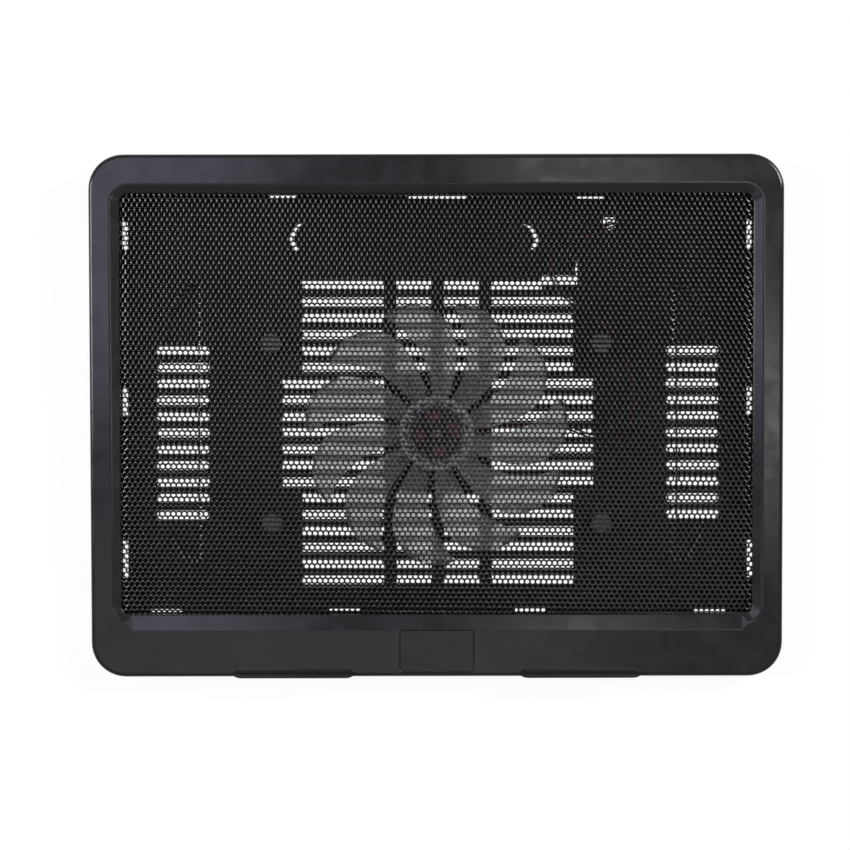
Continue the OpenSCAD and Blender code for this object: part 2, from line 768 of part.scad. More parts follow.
// A round tube of radius r along a line of points
module tube(line, r) {
    sides = 8;
    last = len(line) - 1;
    points = [for (k = [0:last], i = [0:sides - 1])
        let (n = across(line, k), u = cross(along(line, k), n))
            line[k] + r * (cos(i * 360 / sides) * n + sin(i * 360 / sides) * u)];
    walls = [for (k = [0:last - 1], i = [0:sides - 1])
        let (a = k * sides + i, b = k * sides + (i + 1) % sides)
            each [[a, b, a + sides], [b, b + sides, a + sides]]];
    ends = [for (i = [1:sides - 2]) each [[0, i + 1, i],
        [last * sides, last * sides + i, last * sides + i + 1]]];
    polyhedron(points = points, faces = concat(walls, ends), convexity = 10);
}

// One wire beside the route, s to its left or right
module wire(s) {
    in_house() tube([for (k = [0:len(route_line) - 1])
        route_line[k] + s * wire_gap * across(route_line, k)], wire_r);
}

// The two wires from the circuit board to the cord gland
module lead_red() {
    color([0.6, 0.08, 0.06]) wire(-1);
}

module lead_black() {
    color([0.05, 0.05, 0.05]) wire(1);
}

// Rubber bush in the floor where the supply cord enters
module cord_gland() {
    color([0.07, 0.07, 0.07]) in_house() translate([gland_x, gland_y, 0]) difference() {
        union() {
            translate([0, 0, gland_low]) cylinder(r = gland_r, h = foot_h - gland_low - 0.05);
            translate([0, 0, gland_low]) cylinder(r = gland_r - 0.6, h = gland_top - gland_low);
            translate([0, 0, floor_z + 0.05]) cylinder(r = gland_r, h = gland_top - floor_z - 0.05);
        }
        translate([0, 0, -1]) cylinder(r = gland_bore, h = 20);
    }
}

// Mean line of a blade: radius, turn of the section's middle and height at a share u of the chord
function blade_turn_at(r) = blade_sweep * pow(max(0, r - hub_r) / (tip_r - hub_r), 2);
function blade_drop_at(r) = (blade_h - blade_t - 0.4) * (1 - 0.25 * (r - hub_r) / (tip_r - hub_r));
function blade_point(r, u, side) =
    let (a = blade_turn_at(r) + blade_span * (u - 0.5),
        thick = blade_t * (0.35 + 0.65 * sin(180 * u)),
        mid = rotor_low + 0.2 + blade_h / 2 - blade_drop_at(r) * (u - 0.5 - 0.07 * sin(360 * u)))
        [r * cos(a), r * sin(a), mid + side * thick / 2];

// Reach of a blade at a share u of the chord: cut back at the trailing corner, rounded at the other
function blade_reach(u) = tip_r - tip_cut * pow(max(0, 1 - u / tip_cut_to), 2)
    - tip_round * pow(max(0, (u - tip_round_from) / (1 - tip_round_from)), 2);

// One blade, its root sunk in the hub's wall
module blade() {
    root = hub_r - 1.1;
    ring = 2 * (chord_steps + 1);
    edge = [for (c = [0:chord_steps]) [c / chord_steps, 1],
        for (c = [chord_steps:-1:0]) [c / chord_steps, -1]];
    points = [for (k = [0:blade_steps], e = edge)
        blade_point(root + (blade_reach(e[0]) - root) * k / blade_steps, e[0], e[1])];
    walls = [for (k = [0:blade_steps - 1], i = [0:ring - 1])
        let (a = k * ring + i, b = k * ring + (i + 1) % ring)
            each [[a, b, a + ring], [b, b + ring, a + ring]]];
    ends = [for (c = [0:chord_steps - 1], e = [0, blade_steps])
        let (a = e * ring + c, b = a + 1, d = e * ring + ring - 1 - c, g = d - 1)
            each e == 0 ? [[a, g, b], [a, d, g]] : [[a, b, g], [a, g, d]]];
    polyhedron(points = points, faces = concat(walls, ends), convexity = 6);
}

// Clear impeller: a cup with a pierced cap, a boss for the shaft and the swept blades
module impeller() {
    color([0.75, 0.77, 0.8, 0.6]) on_axis() {
        difference() {
            union() {
                translate([0, 0, rotor_low]) cylinder(r = hub_r, h = rotor_top - rotor_low);
                for (k = [0:blade_n - 1]) rotate(blade_turn + k * 360 / blade_n) blade();
            }
            translate([0, 0, rotor_low - 1]) cylinder(r = hub_r - hub_wall, h = cap_low - rotor_low + 1);
            for (k = [0:13]) rotate(k * 360 / 14) translate([0, 0, rotor_top - 0.7])
                rotate_extrude(angle = 17) translate([14.9, 0]) square([1.5, 2]);
        }
        translate([0, 0, stack_top + 1.2]) difference() {
            cylinder(r = tube_r - 0.4, h = cap_low - stack_top - 0.7);
            translate([0, 0, -1]) cylinder(r = shaft_r + 0.02, h = 20);
        }
    }
}

// Steel ring in the impeller's cup
module rotor_yoke() {
    color([0.4, 0.4, 0.42]) on_axis() translate([0, 0, rotor_low + 0.2]) difference() {
        cylinder(r = yoke_r, h = cap_low - rotor_low - 0.4);
        translate([0, 0, -1]) cylinder(r = yoke_r - yoke_t, h = 30);
    }
}

// Ring magnet inside the steel ring
module magnet_ring() {
    color([0.12, 0.12, 0.12]) on_axis() translate([0, 0, rotor_low + 0.4]) difference() {
        cylinder(r = magnet_r, h = cap_low - rotor_low - 1);
        translate([0, 0, -1]) cylinder(r = magnet_r - magnet_t, h = 30);
    }
}

// The fan's shaft, with a groove for its clip
module fan_shaft() {
    color([0.75, 0.75, 0.76]) on_axis() difference() {
        translate([0, 0, shaft_end]) cylinder(r = shaft_r, h = cap_low - shaft_end - 0.3);
        translate([0, 0, shaft_end + 0.35]) difference() {
            cylinder(r = shaft_r + 1, h = 0.45);
            cylinder(r = shaft_r - 0.4, h = 0.45);
        }
    }
}

// Clip in the shaft's groove, under the bearing
module shaft_clip() {
    color([0.6, 0.6, 0.6]) on_axis() translate([0, 0, shaft_end + 0.4]) difference() {
        cylinder(r = sleeve_r - 0.3, h = 0.35);
        translate([0, 0, -1]) cylinder(r = shaft_r - 0.35, h = 3);
        translate([0, -0.5, -1]) cube([10, 1, 3]);
    }
}

// Fold-out stand: foot bar, tapering tab and the barrel of its hinge
module rear_stand() {
    low = hinge_z - stand_t / 2;
    color([0.12, 0.12, 0.13]) in_house() difference() {
        union() {
            translate([0, 0, low]) linear_extrude(stand_t) difference() {
                intersection() {
                    stand_plan(0, neck_y, tab_end);
                    translate([-200, 0]) square([400, hinge_y]);
                }
                translate([notch_x - 1, 0]) square([60, notch_y - 1]);
            }
            translate([0, hinge_y, hinge_z]) rotate([0, 90, 0])
                cylinder(r = stand_t / 2, h = 2 * tab_half1, center = true);
        }
        translate([0, hinge_y, hinge_z]) rotate([0, 90, 0])
            cylinder(r = pin_r + 0.05, h = 200, center = true);
        translate([tread_x, stand_y0 - 1, low - 1]) cube([tread_len, tread_w + 1, 1 + stand_t - 1.2]);
        for (s = [-1, 1]) translate([s * 16 - 10, stand_y0 + 6, low + stand_t - 1.4])
            cube([20, 6, 4]);
    }
}

// Rubber strip along the edge on which the unfolded stand rests
module stand_tread() {
    color([0.08, 0.08, 0.08]) in_house()
        translate([tread_x + fit_gap, stand_y0 - fit_gap, hinge_z - stand_t / 2 + 0.05])
            cube([tread_len - 2 * fit_gap, tread_w, stand_t - 1.4]);
}

// Steel pin of the stand's hinge
module stand_pin() {
    color([0.7, 0.7, 0.71]) in_house() translate([0, hinge_y, hinge_z]) rotate([0, 90, 0])
        cylinder(r = pin_r, h = 2 * pin_half - 0.6, center = true);
}

top_frame();
base_shell();
mesh_panel();
badge_plate();
housing_screws();
front_feet();
rear_feet();
mesh_rests();
motor_carrier();
carrier_screws();
thrust_pad();
bearing_sleeve();
motor_board();
board_parts();
stator_core();
stator_coils();
lead_red();
lead_black();
cord_gland();
impeller();
rotor_yoke();
magnet_ring();
fan_shaft();
shaft_clip();
rear_stand();
stand_tread();
stand_pin();
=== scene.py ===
"""Looks of the laptop cooling pad, in metres and in the part's own frame.

The moulded and metal parts get their finishes. The perforated sheet with all its holes, the clear
impeller, the windings, the wires, the foam discs and the ribbed tread are built here as meshes.
"""
import json
import math

import bmesh
import bpy
import numpy as np
from mathutils import Matrix, Vector
from mathutils.geometry import tessellate_polygon


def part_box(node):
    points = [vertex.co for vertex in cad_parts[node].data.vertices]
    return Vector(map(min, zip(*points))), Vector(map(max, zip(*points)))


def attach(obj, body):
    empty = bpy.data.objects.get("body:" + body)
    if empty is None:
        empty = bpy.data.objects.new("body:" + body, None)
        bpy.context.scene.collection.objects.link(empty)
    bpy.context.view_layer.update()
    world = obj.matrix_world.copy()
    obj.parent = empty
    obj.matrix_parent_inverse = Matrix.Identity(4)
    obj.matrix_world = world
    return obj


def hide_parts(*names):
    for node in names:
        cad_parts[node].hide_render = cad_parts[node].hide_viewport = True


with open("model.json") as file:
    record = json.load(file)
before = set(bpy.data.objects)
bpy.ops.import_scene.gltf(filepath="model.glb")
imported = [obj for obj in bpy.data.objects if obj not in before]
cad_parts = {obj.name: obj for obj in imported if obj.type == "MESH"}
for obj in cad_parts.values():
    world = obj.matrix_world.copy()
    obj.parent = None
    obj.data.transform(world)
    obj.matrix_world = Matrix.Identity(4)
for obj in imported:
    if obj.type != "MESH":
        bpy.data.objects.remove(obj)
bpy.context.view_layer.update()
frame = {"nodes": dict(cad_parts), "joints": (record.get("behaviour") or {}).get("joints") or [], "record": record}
MM = 0.001
TURN = 2 * math.pi

# Picture: the photograph's frame, and where the middle of the deck lies in it
IMAGE_PX = 850
DECK_MIDDLE_PX = (436.6, 416.5)
PX_PER_M = 1983
CAMERA_HEIGHT = 1.45
CAMERA_ROLL = math.radians(-0.09)
SENSOR_MM = 36

# Deck: the laptop face's mount lies this far up the slope from the deck's middle
MOUNT_UP_SLOPE = 124 * MM

# Perforated sheet
SHEET_T = 0.8 * MM
SHEET_CORNER = 11.4 * MM
HOLE_D = 1.96 * MM
HOLE_PITCH = 2.7632 * MM
HOLE_MARGIN = 2.6 * MM
ROLL_WIDE = 0.36 * MM
ROLL_DEEP = 0.16 * MM
ROLL_STEPS = (0.0, 0.5, 0.85, 1.0)
WEB_CROWN = 0.025 * MM
HOLE_SIDES = 12
PATTERN_SHIFT = (0.078 * MM, 1.445 * MM)
PATTERN_TURN = math.radians(-0.387)
PATTERN_LEAN = 0.0068
PATTERN_STRETCH = 1.0017
SHEET_STRIPS = 8
SAME_POINT = 0.01 * MM

# Shallow pressings of the sheet: a panel with a straight inner side over each side vent, and a bent rim
PANEL_X = 118.9 * MM
PANEL_W = 18.6 * MM
PANEL_MID = -9.8 * MM
PANEL_HALF = 71.6 * MM
PANEL_ROUND = 3
PANEL_DEEP = 0.38 * MM
PANEL_EDGE = 1.2 * MM
PANEL_FADE = 0.5
RIM_X = 156.0 * MM
RIM_Y = 103.6 * MM
RIM_DEEP = 0.4 * MM
RIM_BEND = 2.8 * MM

# Impeller
HUB_R = 19 * MM
HUB_WALL = 2 * MM
HUB_CAP = 1.6 * MM
BOSS_R = 3.6 * MM
BORE_R = 1.52 * MM
BOSS_DROP = 1.3 * MM
TIP_R = 67 * MM
TIP_CUT = 11 * MM
TIP_CUT_TO = 0.45
TIP_ROUND = 2.5 * MM
TIP_ROUND_FROM = 0.75
BLADES = 11
BLADE_TURN = math.radians(18.5)
BLADE_SPAN = math.radians(25)
BLADE_SWEEP = math.radians(20)
BLADE_H = 9 * MM
BLADE_T = 1.3 * MM
POCKETS = 14
POCKET_SPAN = math.radians(17)
POCKET_R = (14.9 * MM, 16.4 * MM)
POCKET_DEEP = 0.7 * MM
POCKET_WALL = 0.15 * MM
POCKET_LIP = 0.16 * MM
POCKET_STEPS = 12
WINDOW_R = 12.4 * MM
WINDOW_GAP = 0.02 * MM
WINDOW_DROP = 0.5 * MM
WINDOW_RING = 6 * MM
BOSS_CHAMFER = 0.4 * MM
BORE_TOP = 0.25 * MM
FROSTED_R = (14.2 * MM, 18.95 * MM)
FROSTED_DROP = 0.3 * MM

# The hub's top on both sides of the pockets: radius and height in millimetres, from the rotor's top
HUB_INNER_RIM = [(12.8, -0.42), (13.2, -0.12), (13.6, 0.0), (14.2, 0.0), (14.6, -0.08), (14.85, -0.16)]
HUB_OUTER_RIM = [(16.45, -0.16), (16.8, -0.08), (17.2, 0.0), (18.3, 0.0), (18.7, -0.09), (18.92, -0.3),
                 (19.0, -0.6)]
HUB_CHAMFER = 0.3 * MM

# Blades: points along and across each, and how its section changes
BLADE_ACROSS = 22
BLADE_OUT = 26
BLADE_ROOT = HUB_R - 1.1 * MM
BLADE_FOOT = 0.2 * MM
BLADE_SLACK = 0.4 * MM
BLADE_FLATTER = 0.25
BLADE_CAMBER = 0.07
BLADE_EDGE = 0.03
BLADE_THIN = 0.35

# Windings
POLES = 4
POLE_TURN = math.radians(10)
COIL_IN = 6.4 * MM
COIL_OUT = 11.6 * MM
COIL_HALF = (3.8 * MM, 3.0 * MM)
COIL_WIRE = 0.5 * MM
COIL_LAYERS = 3
COIL_STEPS = 28
COIL_NEST = 0.96
COIL_SQUARE = 0.45
COIL_WIRE_R = COIL_WIRE * 0.47
COIL_SIDES = 6

# The fan's lead: its route in the housing's plan, in millimetres, from the board to the cord gland
FAN_FRONT = 8.5 * MM
WIRE_R = 0.55 * MM
WIRE_GAP = 0.75 * MM
WIRE_STEPS = 10
WIRE_SIDES = 14
LEAD_ROUTE = [
    (14, -8, 7.35), (21, -6.5, 7.35), (34, -4.4, 7.35), (52, -4.2, 7.35), (66, -5.4, 7.35),
    (79, -10, 7.35), (92, -10, 7.35), (99, 0, 7.35), (100, 14, 7.35), (97, 27, 7.35),
    (92.5, 38, 7.35), (86, 46, 7.35), (77, 53, 8.35), (66, 61, 11.95), (60, 70, 11.95),
    (58, 78, 11.95), (61, 86, 11.95), (70, 91, 10.95), (79, 93.5, 9.35), (84.5, 95.5, 9.95),
    (91.2, 98, 9.95),
]

# Foam discs on the posts under the sheet
REST_X = 83.5 * MM
REST_DY = 45.5 * MM
REST_R = 5 * MM
REST_H = 1.6 * MM
REST_GAP = 0.2 * MM
REST_SIDES = 48
REST_RINGS = [(0.55, 0.0), (0.88, 0.0), (0.95, 0.1), (0.985, 0.3), (1.0, 0.55), (0.985, 0.8),
              (0.95, 0.93), (0.86, 1.0), (0.5, 1.0)]

# Ribbed tread of the stand: each rib's course along the strip and its depth
TREAD_RIBS = 38
TREAD_RIB = ((0.0, 0.0), (0.3, 0.0), (0.45, 1.0), (0.85, 1.0))
TREAD_DEEP = 0.35 * MM
TREAD_OUTER = 0.3 * MM
TREAD_INNER = 0.2 * MM

# Studio
FLOOR_HALF = 6.0
FLOOR_CELLS = 12
FLOOR_GAP = 0.2 * MM
FLOOR_GLOW = 0.93
FLOOR_SHADE = 0.13
FLOOR_PAINT = 0.7
STRIP_TURN = math.radians(-51.5)


def joint(name):
    """One joint of the record, by its name."""
    return next(j for j in frame["joints"] if j["name"] == name)


def mount(name):
    """One mount of the record, by its name."""
    return next(m for m in frame["record"]["mounts"] if m["name"] == name)


FAN_AXIS = Vector(joint("fan_spin")["pos_m"])
HOUSE_Y = FAN_AXIS.y + FAN_FRONT
LAPTOP_FACE = mount("laptop_face")
SLOPE = math.atan2(-LAPTOP_FACE["axis"][1], LAPTOP_FACE["axis"][2])
DECK_MIDDLE = Vector(LAPTOP_FACE["pos_m"]) - MOUNT_UP_SLOPE * Vector((0, math.cos(SLOPE), math.sin(SLOPE)))
ROTOR_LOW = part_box("impeller")[0].z
ROTOR_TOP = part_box("impeller")[1].z


# Node trees

def add(tree, kind, settings=None, **inputs):
    """A new node: settings are its own values, inputs are socket names with a value or a socket."""
    node = tree.nodes.new(kind)
    for key, value in (settings or {}).items():
        setattr(node, key, value)
    for key, value in inputs.items():
        feed(tree, node.inputs[key.replace("_", " ")], value)
    return node


def feed(tree, socket, value):
    """Links a socket into another, or sets its plain value."""
    if isinstance(value, bpy.types.NodeSocket):
        tree.links.new(value, socket)
    else:
        socket.default_value = value


def calc(tree, operation, *values):
    """A math node on one to three numbers or sockets."""
    node = tree.nodes.new("ShaderNodeMath")
    node.operation = operation
    for socket, value in zip(node.inputs, values):
        feed(tree, socket, value)
    return node.outputs[0]


def spread(tree, value, low, high, to_low=0.0, to_high=1.0):
    """Maps a value from one range to another, smoothly and within the ends."""
    node = add(tree, "ShaderNodeMapRange", {"interpolation_type": "SMOOTHSTEP"})
    for key, number in (("From Min", low), ("From Max", high), ("To Min", to_low), ("To Max", to_high)):
        feed(tree, node.inputs[key], number)
    feed(tree, node.inputs["Value"], value)
    return node.outputs["Result"]


def blend_colours(tree, factor, first, second):
    """Mixes two colours by a factor from 0 to 1."""
    node = add(tree, "ShaderNodeMix", {"data_type": "RGBA"})
    feed(tree, node.inputs["Factor"], factor)
    for socket, value in zip([s for s in node.inputs if s.type == "RGBA"], (first, second)):
        feed(tree, socket, value)
    return next(s for s in node.outputs if s.type == "RGBA")


def noise(tree, place, scale, detail=3.0, rough=0.55):
    """Noise from 0 to 1 at a scale per metre."""
    node = add(tree, "ShaderNodeTexNoise", Vector=place, Scale=scale, Detail=detail, Roughness=rough)
    return node.outputs[0]


def object_place(tree):
    """Coordinates in the part's own frame."""
    return add(tree, "ShaderNodeTexCoord").outputs["Object"]


def stretched(tree, place, x, y, z):
    """The same coordinates with each axis scaled."""
    node = add(tree, "ShaderNodeMapping", Vector=place)
    node.inputs["Scale"].default_value = (x, y, z)
    return node.outputs[0]


def new_group(name, inputs, outputs):
    """An empty shader node group with number sockets; returns its tree, input node and output node."""
    tree = bpy.data.node_groups.new(name, "ShaderNodeTree")
    for label, value in inputs.items():
        socket = tree.interface.new_socket(label, in_out="INPUT", socket_type="NodeSocketFloat")
        socket.default_value = value
    for label in outputs:
        tree.interface.new_socket(label, in_out="OUTPUT", socket_type="NodeSocketFloat")
    return tree, tree.nodes.new("NodeGroupInput").outputs, tree.nodes.new("NodeGroupOutput").inputs


def moulded_grain_group():
    """Fine spark-eroded grain of moulded plastic, with broad soft patches of tone."""
    tree, given, out = new_group("moulded grain", {"Grain": 1400.0, "Patch": 26.0},
                                 ("Height", "Tone", "Gloss"))
    place = object_place(tree)
    fine = noise(tree, place, given["Grain"], 4.0, 0.65)
    pits = add(tree, "ShaderNodeTexVoronoi", Vector=place, Scale=calc(tree, "MULTIPLY", given["Grain"], 0.8))
    height = calc(tree, "ADD", fine, calc(tree, "MULTIPLY", pits.outputs["Distance"], 0.5))
    feed(tree, out["Height"], height)
    feed(tree, out["Tone"], spread(tree, noise(tree, place, given["Patch"], 5.0, 0.6), 0.3, 0.7))
    smaller = calc(tree, "MULTIPLY", given["Patch"], 3.3)
    feed(tree, out["Gloss"], spread(tree, noise(tree, place, smaller, 5.0), 0.25, 0.75))
    return tree


def settled_dust_group():
    """Thin dust that lies on upward faces, thicker in specks."""
    tree, given, out = new_group("settled dust", {"Amount": 0.3, "Speck": 900.0}, ("Mask",))
    place = object_place(tree)
    facing = add(tree, "ShaderNodeSeparateXYZ", Vector=add(tree, "ShaderNodeNewGeometry").outputs["Normal"])
    upward = spread(tree, facing.outputs["Z"], 0.5, 0.95)
    veil = spread(tree, noise(tree, place, calc(tree, "MULTIPLY", given["Speck"], 0.05), 6.0, 0.7), 0.45, 0.8)
    specks = spread(tree, noise(tree, place, given["Speck"], 2.0, 0.5), 0.72, 0.8)
    lying = calc(tree, "ADD", calc(tree, "MULTIPLY", veil, 0.35), specks)
    feed(tree, out["Mask"], calc(tree, "MULTIPLY", calc(tree, "MULTIPLY", lying, upward), given["Amount"]))
    return tree


def hairlines_group():
    """Fine rubbed hairlines in two directions."""
    tree, given, out = new_group("hairlines", {"Scale": 60.0, "Cover": 0.5}, ("Mask",))
    place = object_place(tree)
    parts = []
    for x, y in ((1.0, 34.0), (27.0, 1.4)):
        lines = noise(tree, stretched(tree, place, x, y, 8.0), given["Scale"], 3.0, 0.7)
        parts.append(spread(tree, lines, 0.62, 0.74))
    both = calc(tree, "MAXIMUM", *parts)
    cover = spread(tree, noise(tree, place, 31.0, 3.0), 0.4, 0.65)
    feed(tree, out["Mask"], calc(tree, "MULTIPLY", calc(tree, "MULTIPLY", both, cover), given["Cover"]))
    return tree


def turned_lines_group():
    """Tool lines round the fan's axis, as on turned or ground steel."""
    tree, given, out = new_group("turned lines", {"Scale": 3000.0}, ("Height", "Tone"))
    place = object_place(tree)
    lines = noise(tree, stretched(tree, place, 0.25, 0.25, 1.0), given["Scale"], 3.0, 0.7)
    feed(tree, out["Height"], lines)
    feed(tree, out["Tone"], spread(tree, noise(tree, place, 700.0, 4.0), 0.3, 0.75))
    return tree


MOULDED_GRAIN = moulded_grain_group()
SETTLED_DUST = settled_dust_group()
HAIRLINES = hairlines_group()
TURNED_LINES = turned_lines_group()


class Finish:
    """A material with a Principled surface and short ways to feed it."""

    def __init__(self, name, **plain):
        self.material = bpy.data.materials.new(name)
        self.material.use_nodes = True
        self.tree = self.material.node_tree
        self.surface = self.tree.nodes["Principled BSDF"]
        for key, value in plain.items():
            self.set(key, value)

    def set(self, key, value):
        feed(self.tree, self.surface.inputs[key.replace("_", " ")], value)

    def group(self, tree, **inputs):
        node = add(self.tree, "ShaderNodeGroup", {"node_tree": tree}, **inputs)
        return node.outputs

    def colours(self, factor, first, second):
        return blend_colours(self.tree, factor, (*first, 1.0), (*second, 1.0))

    def bump(self, height, depth, strength=1.0, edge=None):
        """Raises the surface by a height of 0 to 1 times depth; edge softens the solids' edges."""
        node = add(self.tree, "ShaderNodeBump", Height=height, Distance=depth, Strength=strength)
        if edge:
            soft = add(self.tree, "ShaderNodeBevel", {"samples": 6}, Radius=edge)
            feed(self.tree, node.inputs["Normal"], soft.outputs[0])
        self.set("Normal", node.outputs[0])


def moulded(name, dark, light, rough, grain, dust, edge, level=0.5):
    """Textured black plastic with soft patches, hairlines and a little dust."""
    finish = Finish(name, Specular_IOR_Level=level)
    skin = finish.group(MOULDED_GRAIN, Grain=grain, Patch=24.0)
    film = finish.group(SETTLED_DUST, Amount=dust, Speck=900.0)
    rubbed = finish.group(HAIRLINES, Scale=60.0, Cover=0.5)
    tone = finish.colours(skin["Tone"], dark, light)
    finish.set("Base_Color", blend_colours(finish.tree, film["Mask"], tone, (0.16, 0.155, 0.15, 1.0)))
    gloss = spread(finish.tree, skin["Gloss"], 0.0, 1.0, rough - 0.05, rough + 0.06)
    polish = calc(finish.tree, "MULTIPLY", rubbed["Mask"], 0.08)
    finish.set("Roughness", calc(finish.tree, "SUBTRACT", gloss, polish))
    finish.bump(skin["Height"], 0.000012, 0.5, edge)
    return finish.material


def frame_plastic():
    """Satin charcoal plastic of the top frame."""
    dark, light = (0.0323, 0.032, 0.0345), (0.0372, 0.0368, 0.0396)
    return moulded("frame plastic", dark, light, 0.15, grain=1500.0, dust=0.05, edge=0.7 * MM)


def shade_darkened_base_plastic():
    """Plastic of the base, the motor's carrier and the stand, painted much darker than the frame's as shade under
    the sheet.
    """
    # Painted shade: these tones are far darker than the frame's plastic to stand in for the shade inside the
    # housing
    dark, light = (0.008, 0.008, 0.0084), (0.0108, 0.0108, 0.0113)
    return moulded("shade darkened base plastic", dark, light, 0.5, grain=1100.0, dust=0.05, edge=0.4 * MM, level=0.3)


def badge_plastic():
    """Blank badge with a finer skin than the frame."""
    dark, light = (0.0322, 0.0318, 0.0344), (0.0366, 0.0361, 0.0391)
    return moulded("badge plastic", dark, light, 0.18, grain=2200.0, dust=0.04, edge=0.3 * MM)


def sheet_paint():
    """Black stove enamel on steel: slight orange peel under a clear, glossy skin."""
    finish = Finish("sheet paint", Specular_IOR_Level=0.9, Coat_Weight=0.6, Coat_Roughness=0.08)
    skin = finish.group(MOULDED_GRAIN, Grain=700.0, Patch=40.0)
    film = finish.group(SETTLED_DUST, Amount=0.07, Speck=800.0)
    tone = finish.colours(skin["Tone"], (0.0068, 0.0068, 0.0071), (0.0096, 0.0096, 0.01))
    finish.set("Base_Color", blend_colours(finish.tree, film["Mask"], tone, (0.2, 0.195, 0.19, 1.0)))
    finish.set("Roughness", spread(finish.tree, skin["Gloss"], 0.0, 1.0, 0.09, 0.14))
    finish.bump(skin["Height"], 0.000008, 0.4)
    return finish.material


def metal(name, dark, light, rough, lines, depth=0.000006):
    """Bare or plated metal with tool lines and uneven polish."""
    finish = Finish(name, Metallic=1.0)
    tooled = finish.group(TURNED_LINES, Scale=lines)
    finish.set("Base_Color", finish.colours(tooled["Tone"], dark, light))
    finish.set("Roughness", spread(finish.tree, tooled["Tone"], 0.0, 1.0, rough - 0.06, rough + 0.08))
    finish.bump(tooled["Height"], depth, 0.6)
    return finish.material


def screw_zinc():
    """Zinc plating of the screws and the clip."""
    return metal("screw zinc", (0.42, 0.43, 0.45), (0.6, 0.6, 0.62), 0.34, 3000.0)


def bright_steel():
    """Ground steel of the shaft and the hinge pin."""
    return metal("bright steel", (0.55, 0.55, 0.56), (0.7, 0.7, 0.71), 0.24, 5000.0)


def bronze():
    """Sintered bronze of the bearing."""
    return metal("bronze", (0.42, 0.25, 0.11), (0.6, 0.39, 0.19), 0.42, 4000.0, 0.00001)


def core_steel():
    """Stacked sheets of the core, with their seams along the height."""
    finish = Finish("core steel", Metallic=0.9)
    place = object_place(finish.tree)
    layers = add(finish.tree, "ShaderNodeTexWave", {"bands_direction": "Z", "wave_profile": "SAW"},
                 Vector=place, Scale=450.0, Distortion=0.4, Detail=1.0)
    tooled = finish.group(TURNED_LINES, Scale=2500.0)
    seams = spread(finish.tree, layers.outputs["Fac"], 0.0, 0.25)
    tone = finish.colours(tooled["Tone"], (0.12, 0.12, 0.125), (0.2, 0.2, 0.21))
    finish.set("Base_Color", blend_colours(finish.tree, seams, (0.03, 0.03, 0.032, 1.0), tone))
    finish.set("Roughness", spread(finish.tree, tooled["Tone"], 0.0, 1.0, 0.4, 0.55))
    finish.bump(seams, 0.00005, 0.5)
    return finish.material


def ferrite():
    """Pressed ferrite of the ring magnet."""
    finish = Finish("ferrite")
    skin = finish.group(MOULDED_GRAIN, Grain=2600.0, Patch=160.0)
    finish.set("Base_Color", finish.colours(skin["Tone"], (0.022, 0.022, 0.024), (0.045, 0.044, 0.045)))
    finish.set("Roughness", spread(finish.tree, skin["Gloss"], 0.0, 1.0, 0.5, 0.7))
    finish.bump(skin["Height"], 0.00003, 0.6)
    return finish.material


def rubber():
    """Matt black rubber, slightly bloomed."""
    finish = Finish("rubber", Specular_IOR_Level=0.35)
    skin = finish.group(MOULDED_GRAIN, Grain=1700.0, Patch=90.0)
    finish.set("Base_Color", finish.colours(skin["Tone"], (0.012, 0.012, 0.0125), (0.024, 0.0235, 0.0235)))
    finish.set("Roughness", spread(finish.tree, skin["Gloss"], 0.0, 1.0, 0.68, 0.85))
    finish.bump(skin["Height"], 0.00004, 0.6, 0.0003)
    return finish.material


def foam():
    """Grey foam with open cells."""
    finish = Finish("foam", Specular_IOR_Level=0.2)
    place = object_place(finish.tree)
    cells = add(finish.tree, "ShaderNodeTexVoronoi", Vector=place, Scale=2400.0)
    film = finish.group(SETTLED_DUST, Amount=0.4, Speck=1500.0)
    walls = spread(finish.tree, cells.outputs["Distance"], 0.1, 0.6)
    tone = finish.colours(walls, (0.06, 0.06, 0.063), (0.2, 0.2, 0.205))
    finish.set("Base_Color", blend_colours(finish.tree, film["Mask"], tone, (0.3, 0.3, 0.3, 1.0)))
    finish.set("Roughness", spread(finish.tree, cells.outputs["Distance"], 0.0, 0.8, 0.95, 0.8))
    finish.bump(walls, 0.0001, 0.8)
    return finish.material


def white_plastic():
    """Slippery white plastic of the thrust pad."""
    finish = Finish("white plastic")
    skin = finish.group(MOULDED_GRAIN, Grain=3000.0, Patch=400.0)
    finish.set("Base_Color", finish.colours(skin["Tone"], (0.66, 0.65, 0.6), (0.74, 0.73, 0.69)))
    finish.set("Roughness", spread(finish.tree, skin["Gloss"], 0.0, 1.0, 0.3, 0.45))
    finish.bump(skin["Height"], 0.00001, 0.5)
    return finish.material


def board_lacquer():
    """Green solder lacquer over tracks, with a few tinned pads."""
    finish = Finish("board lacquer", Coat_Weight=0.4, Coat_Roughness=0.2)
    place = object_place(finish.tree)
    weave = add(finish.tree, "ShaderNodeTexVoronoi", {"distance": "MANHATTAN", "feature": "F1"},
                Vector=place, Scale=420.0)
    tracks = spread(finish.tree, weave.outputs["Distance"], 0.42, 0.5)
    pads = spread(finish.tree, weave.outputs["Distance"], 0.12, 0.09)
    lacquer = finish.colours(tracks, (0.012, 0.07, 0.03), (0.02, 0.12, 0.05))
    finish.set("Base_Color", blend_colours(finish.tree, pads, lacquer, (0.55, 0.55, 0.53, 1.0)))
    finish.set("Metallic", pads)
    finish.set("Roughness", spread(finish.tree, noise(finish.tree, place, 900.0), 0.3, 0.7, 0.28, 0.42))
    finish.bump(tracks, 0.00003, 0.6)
    return finish.material


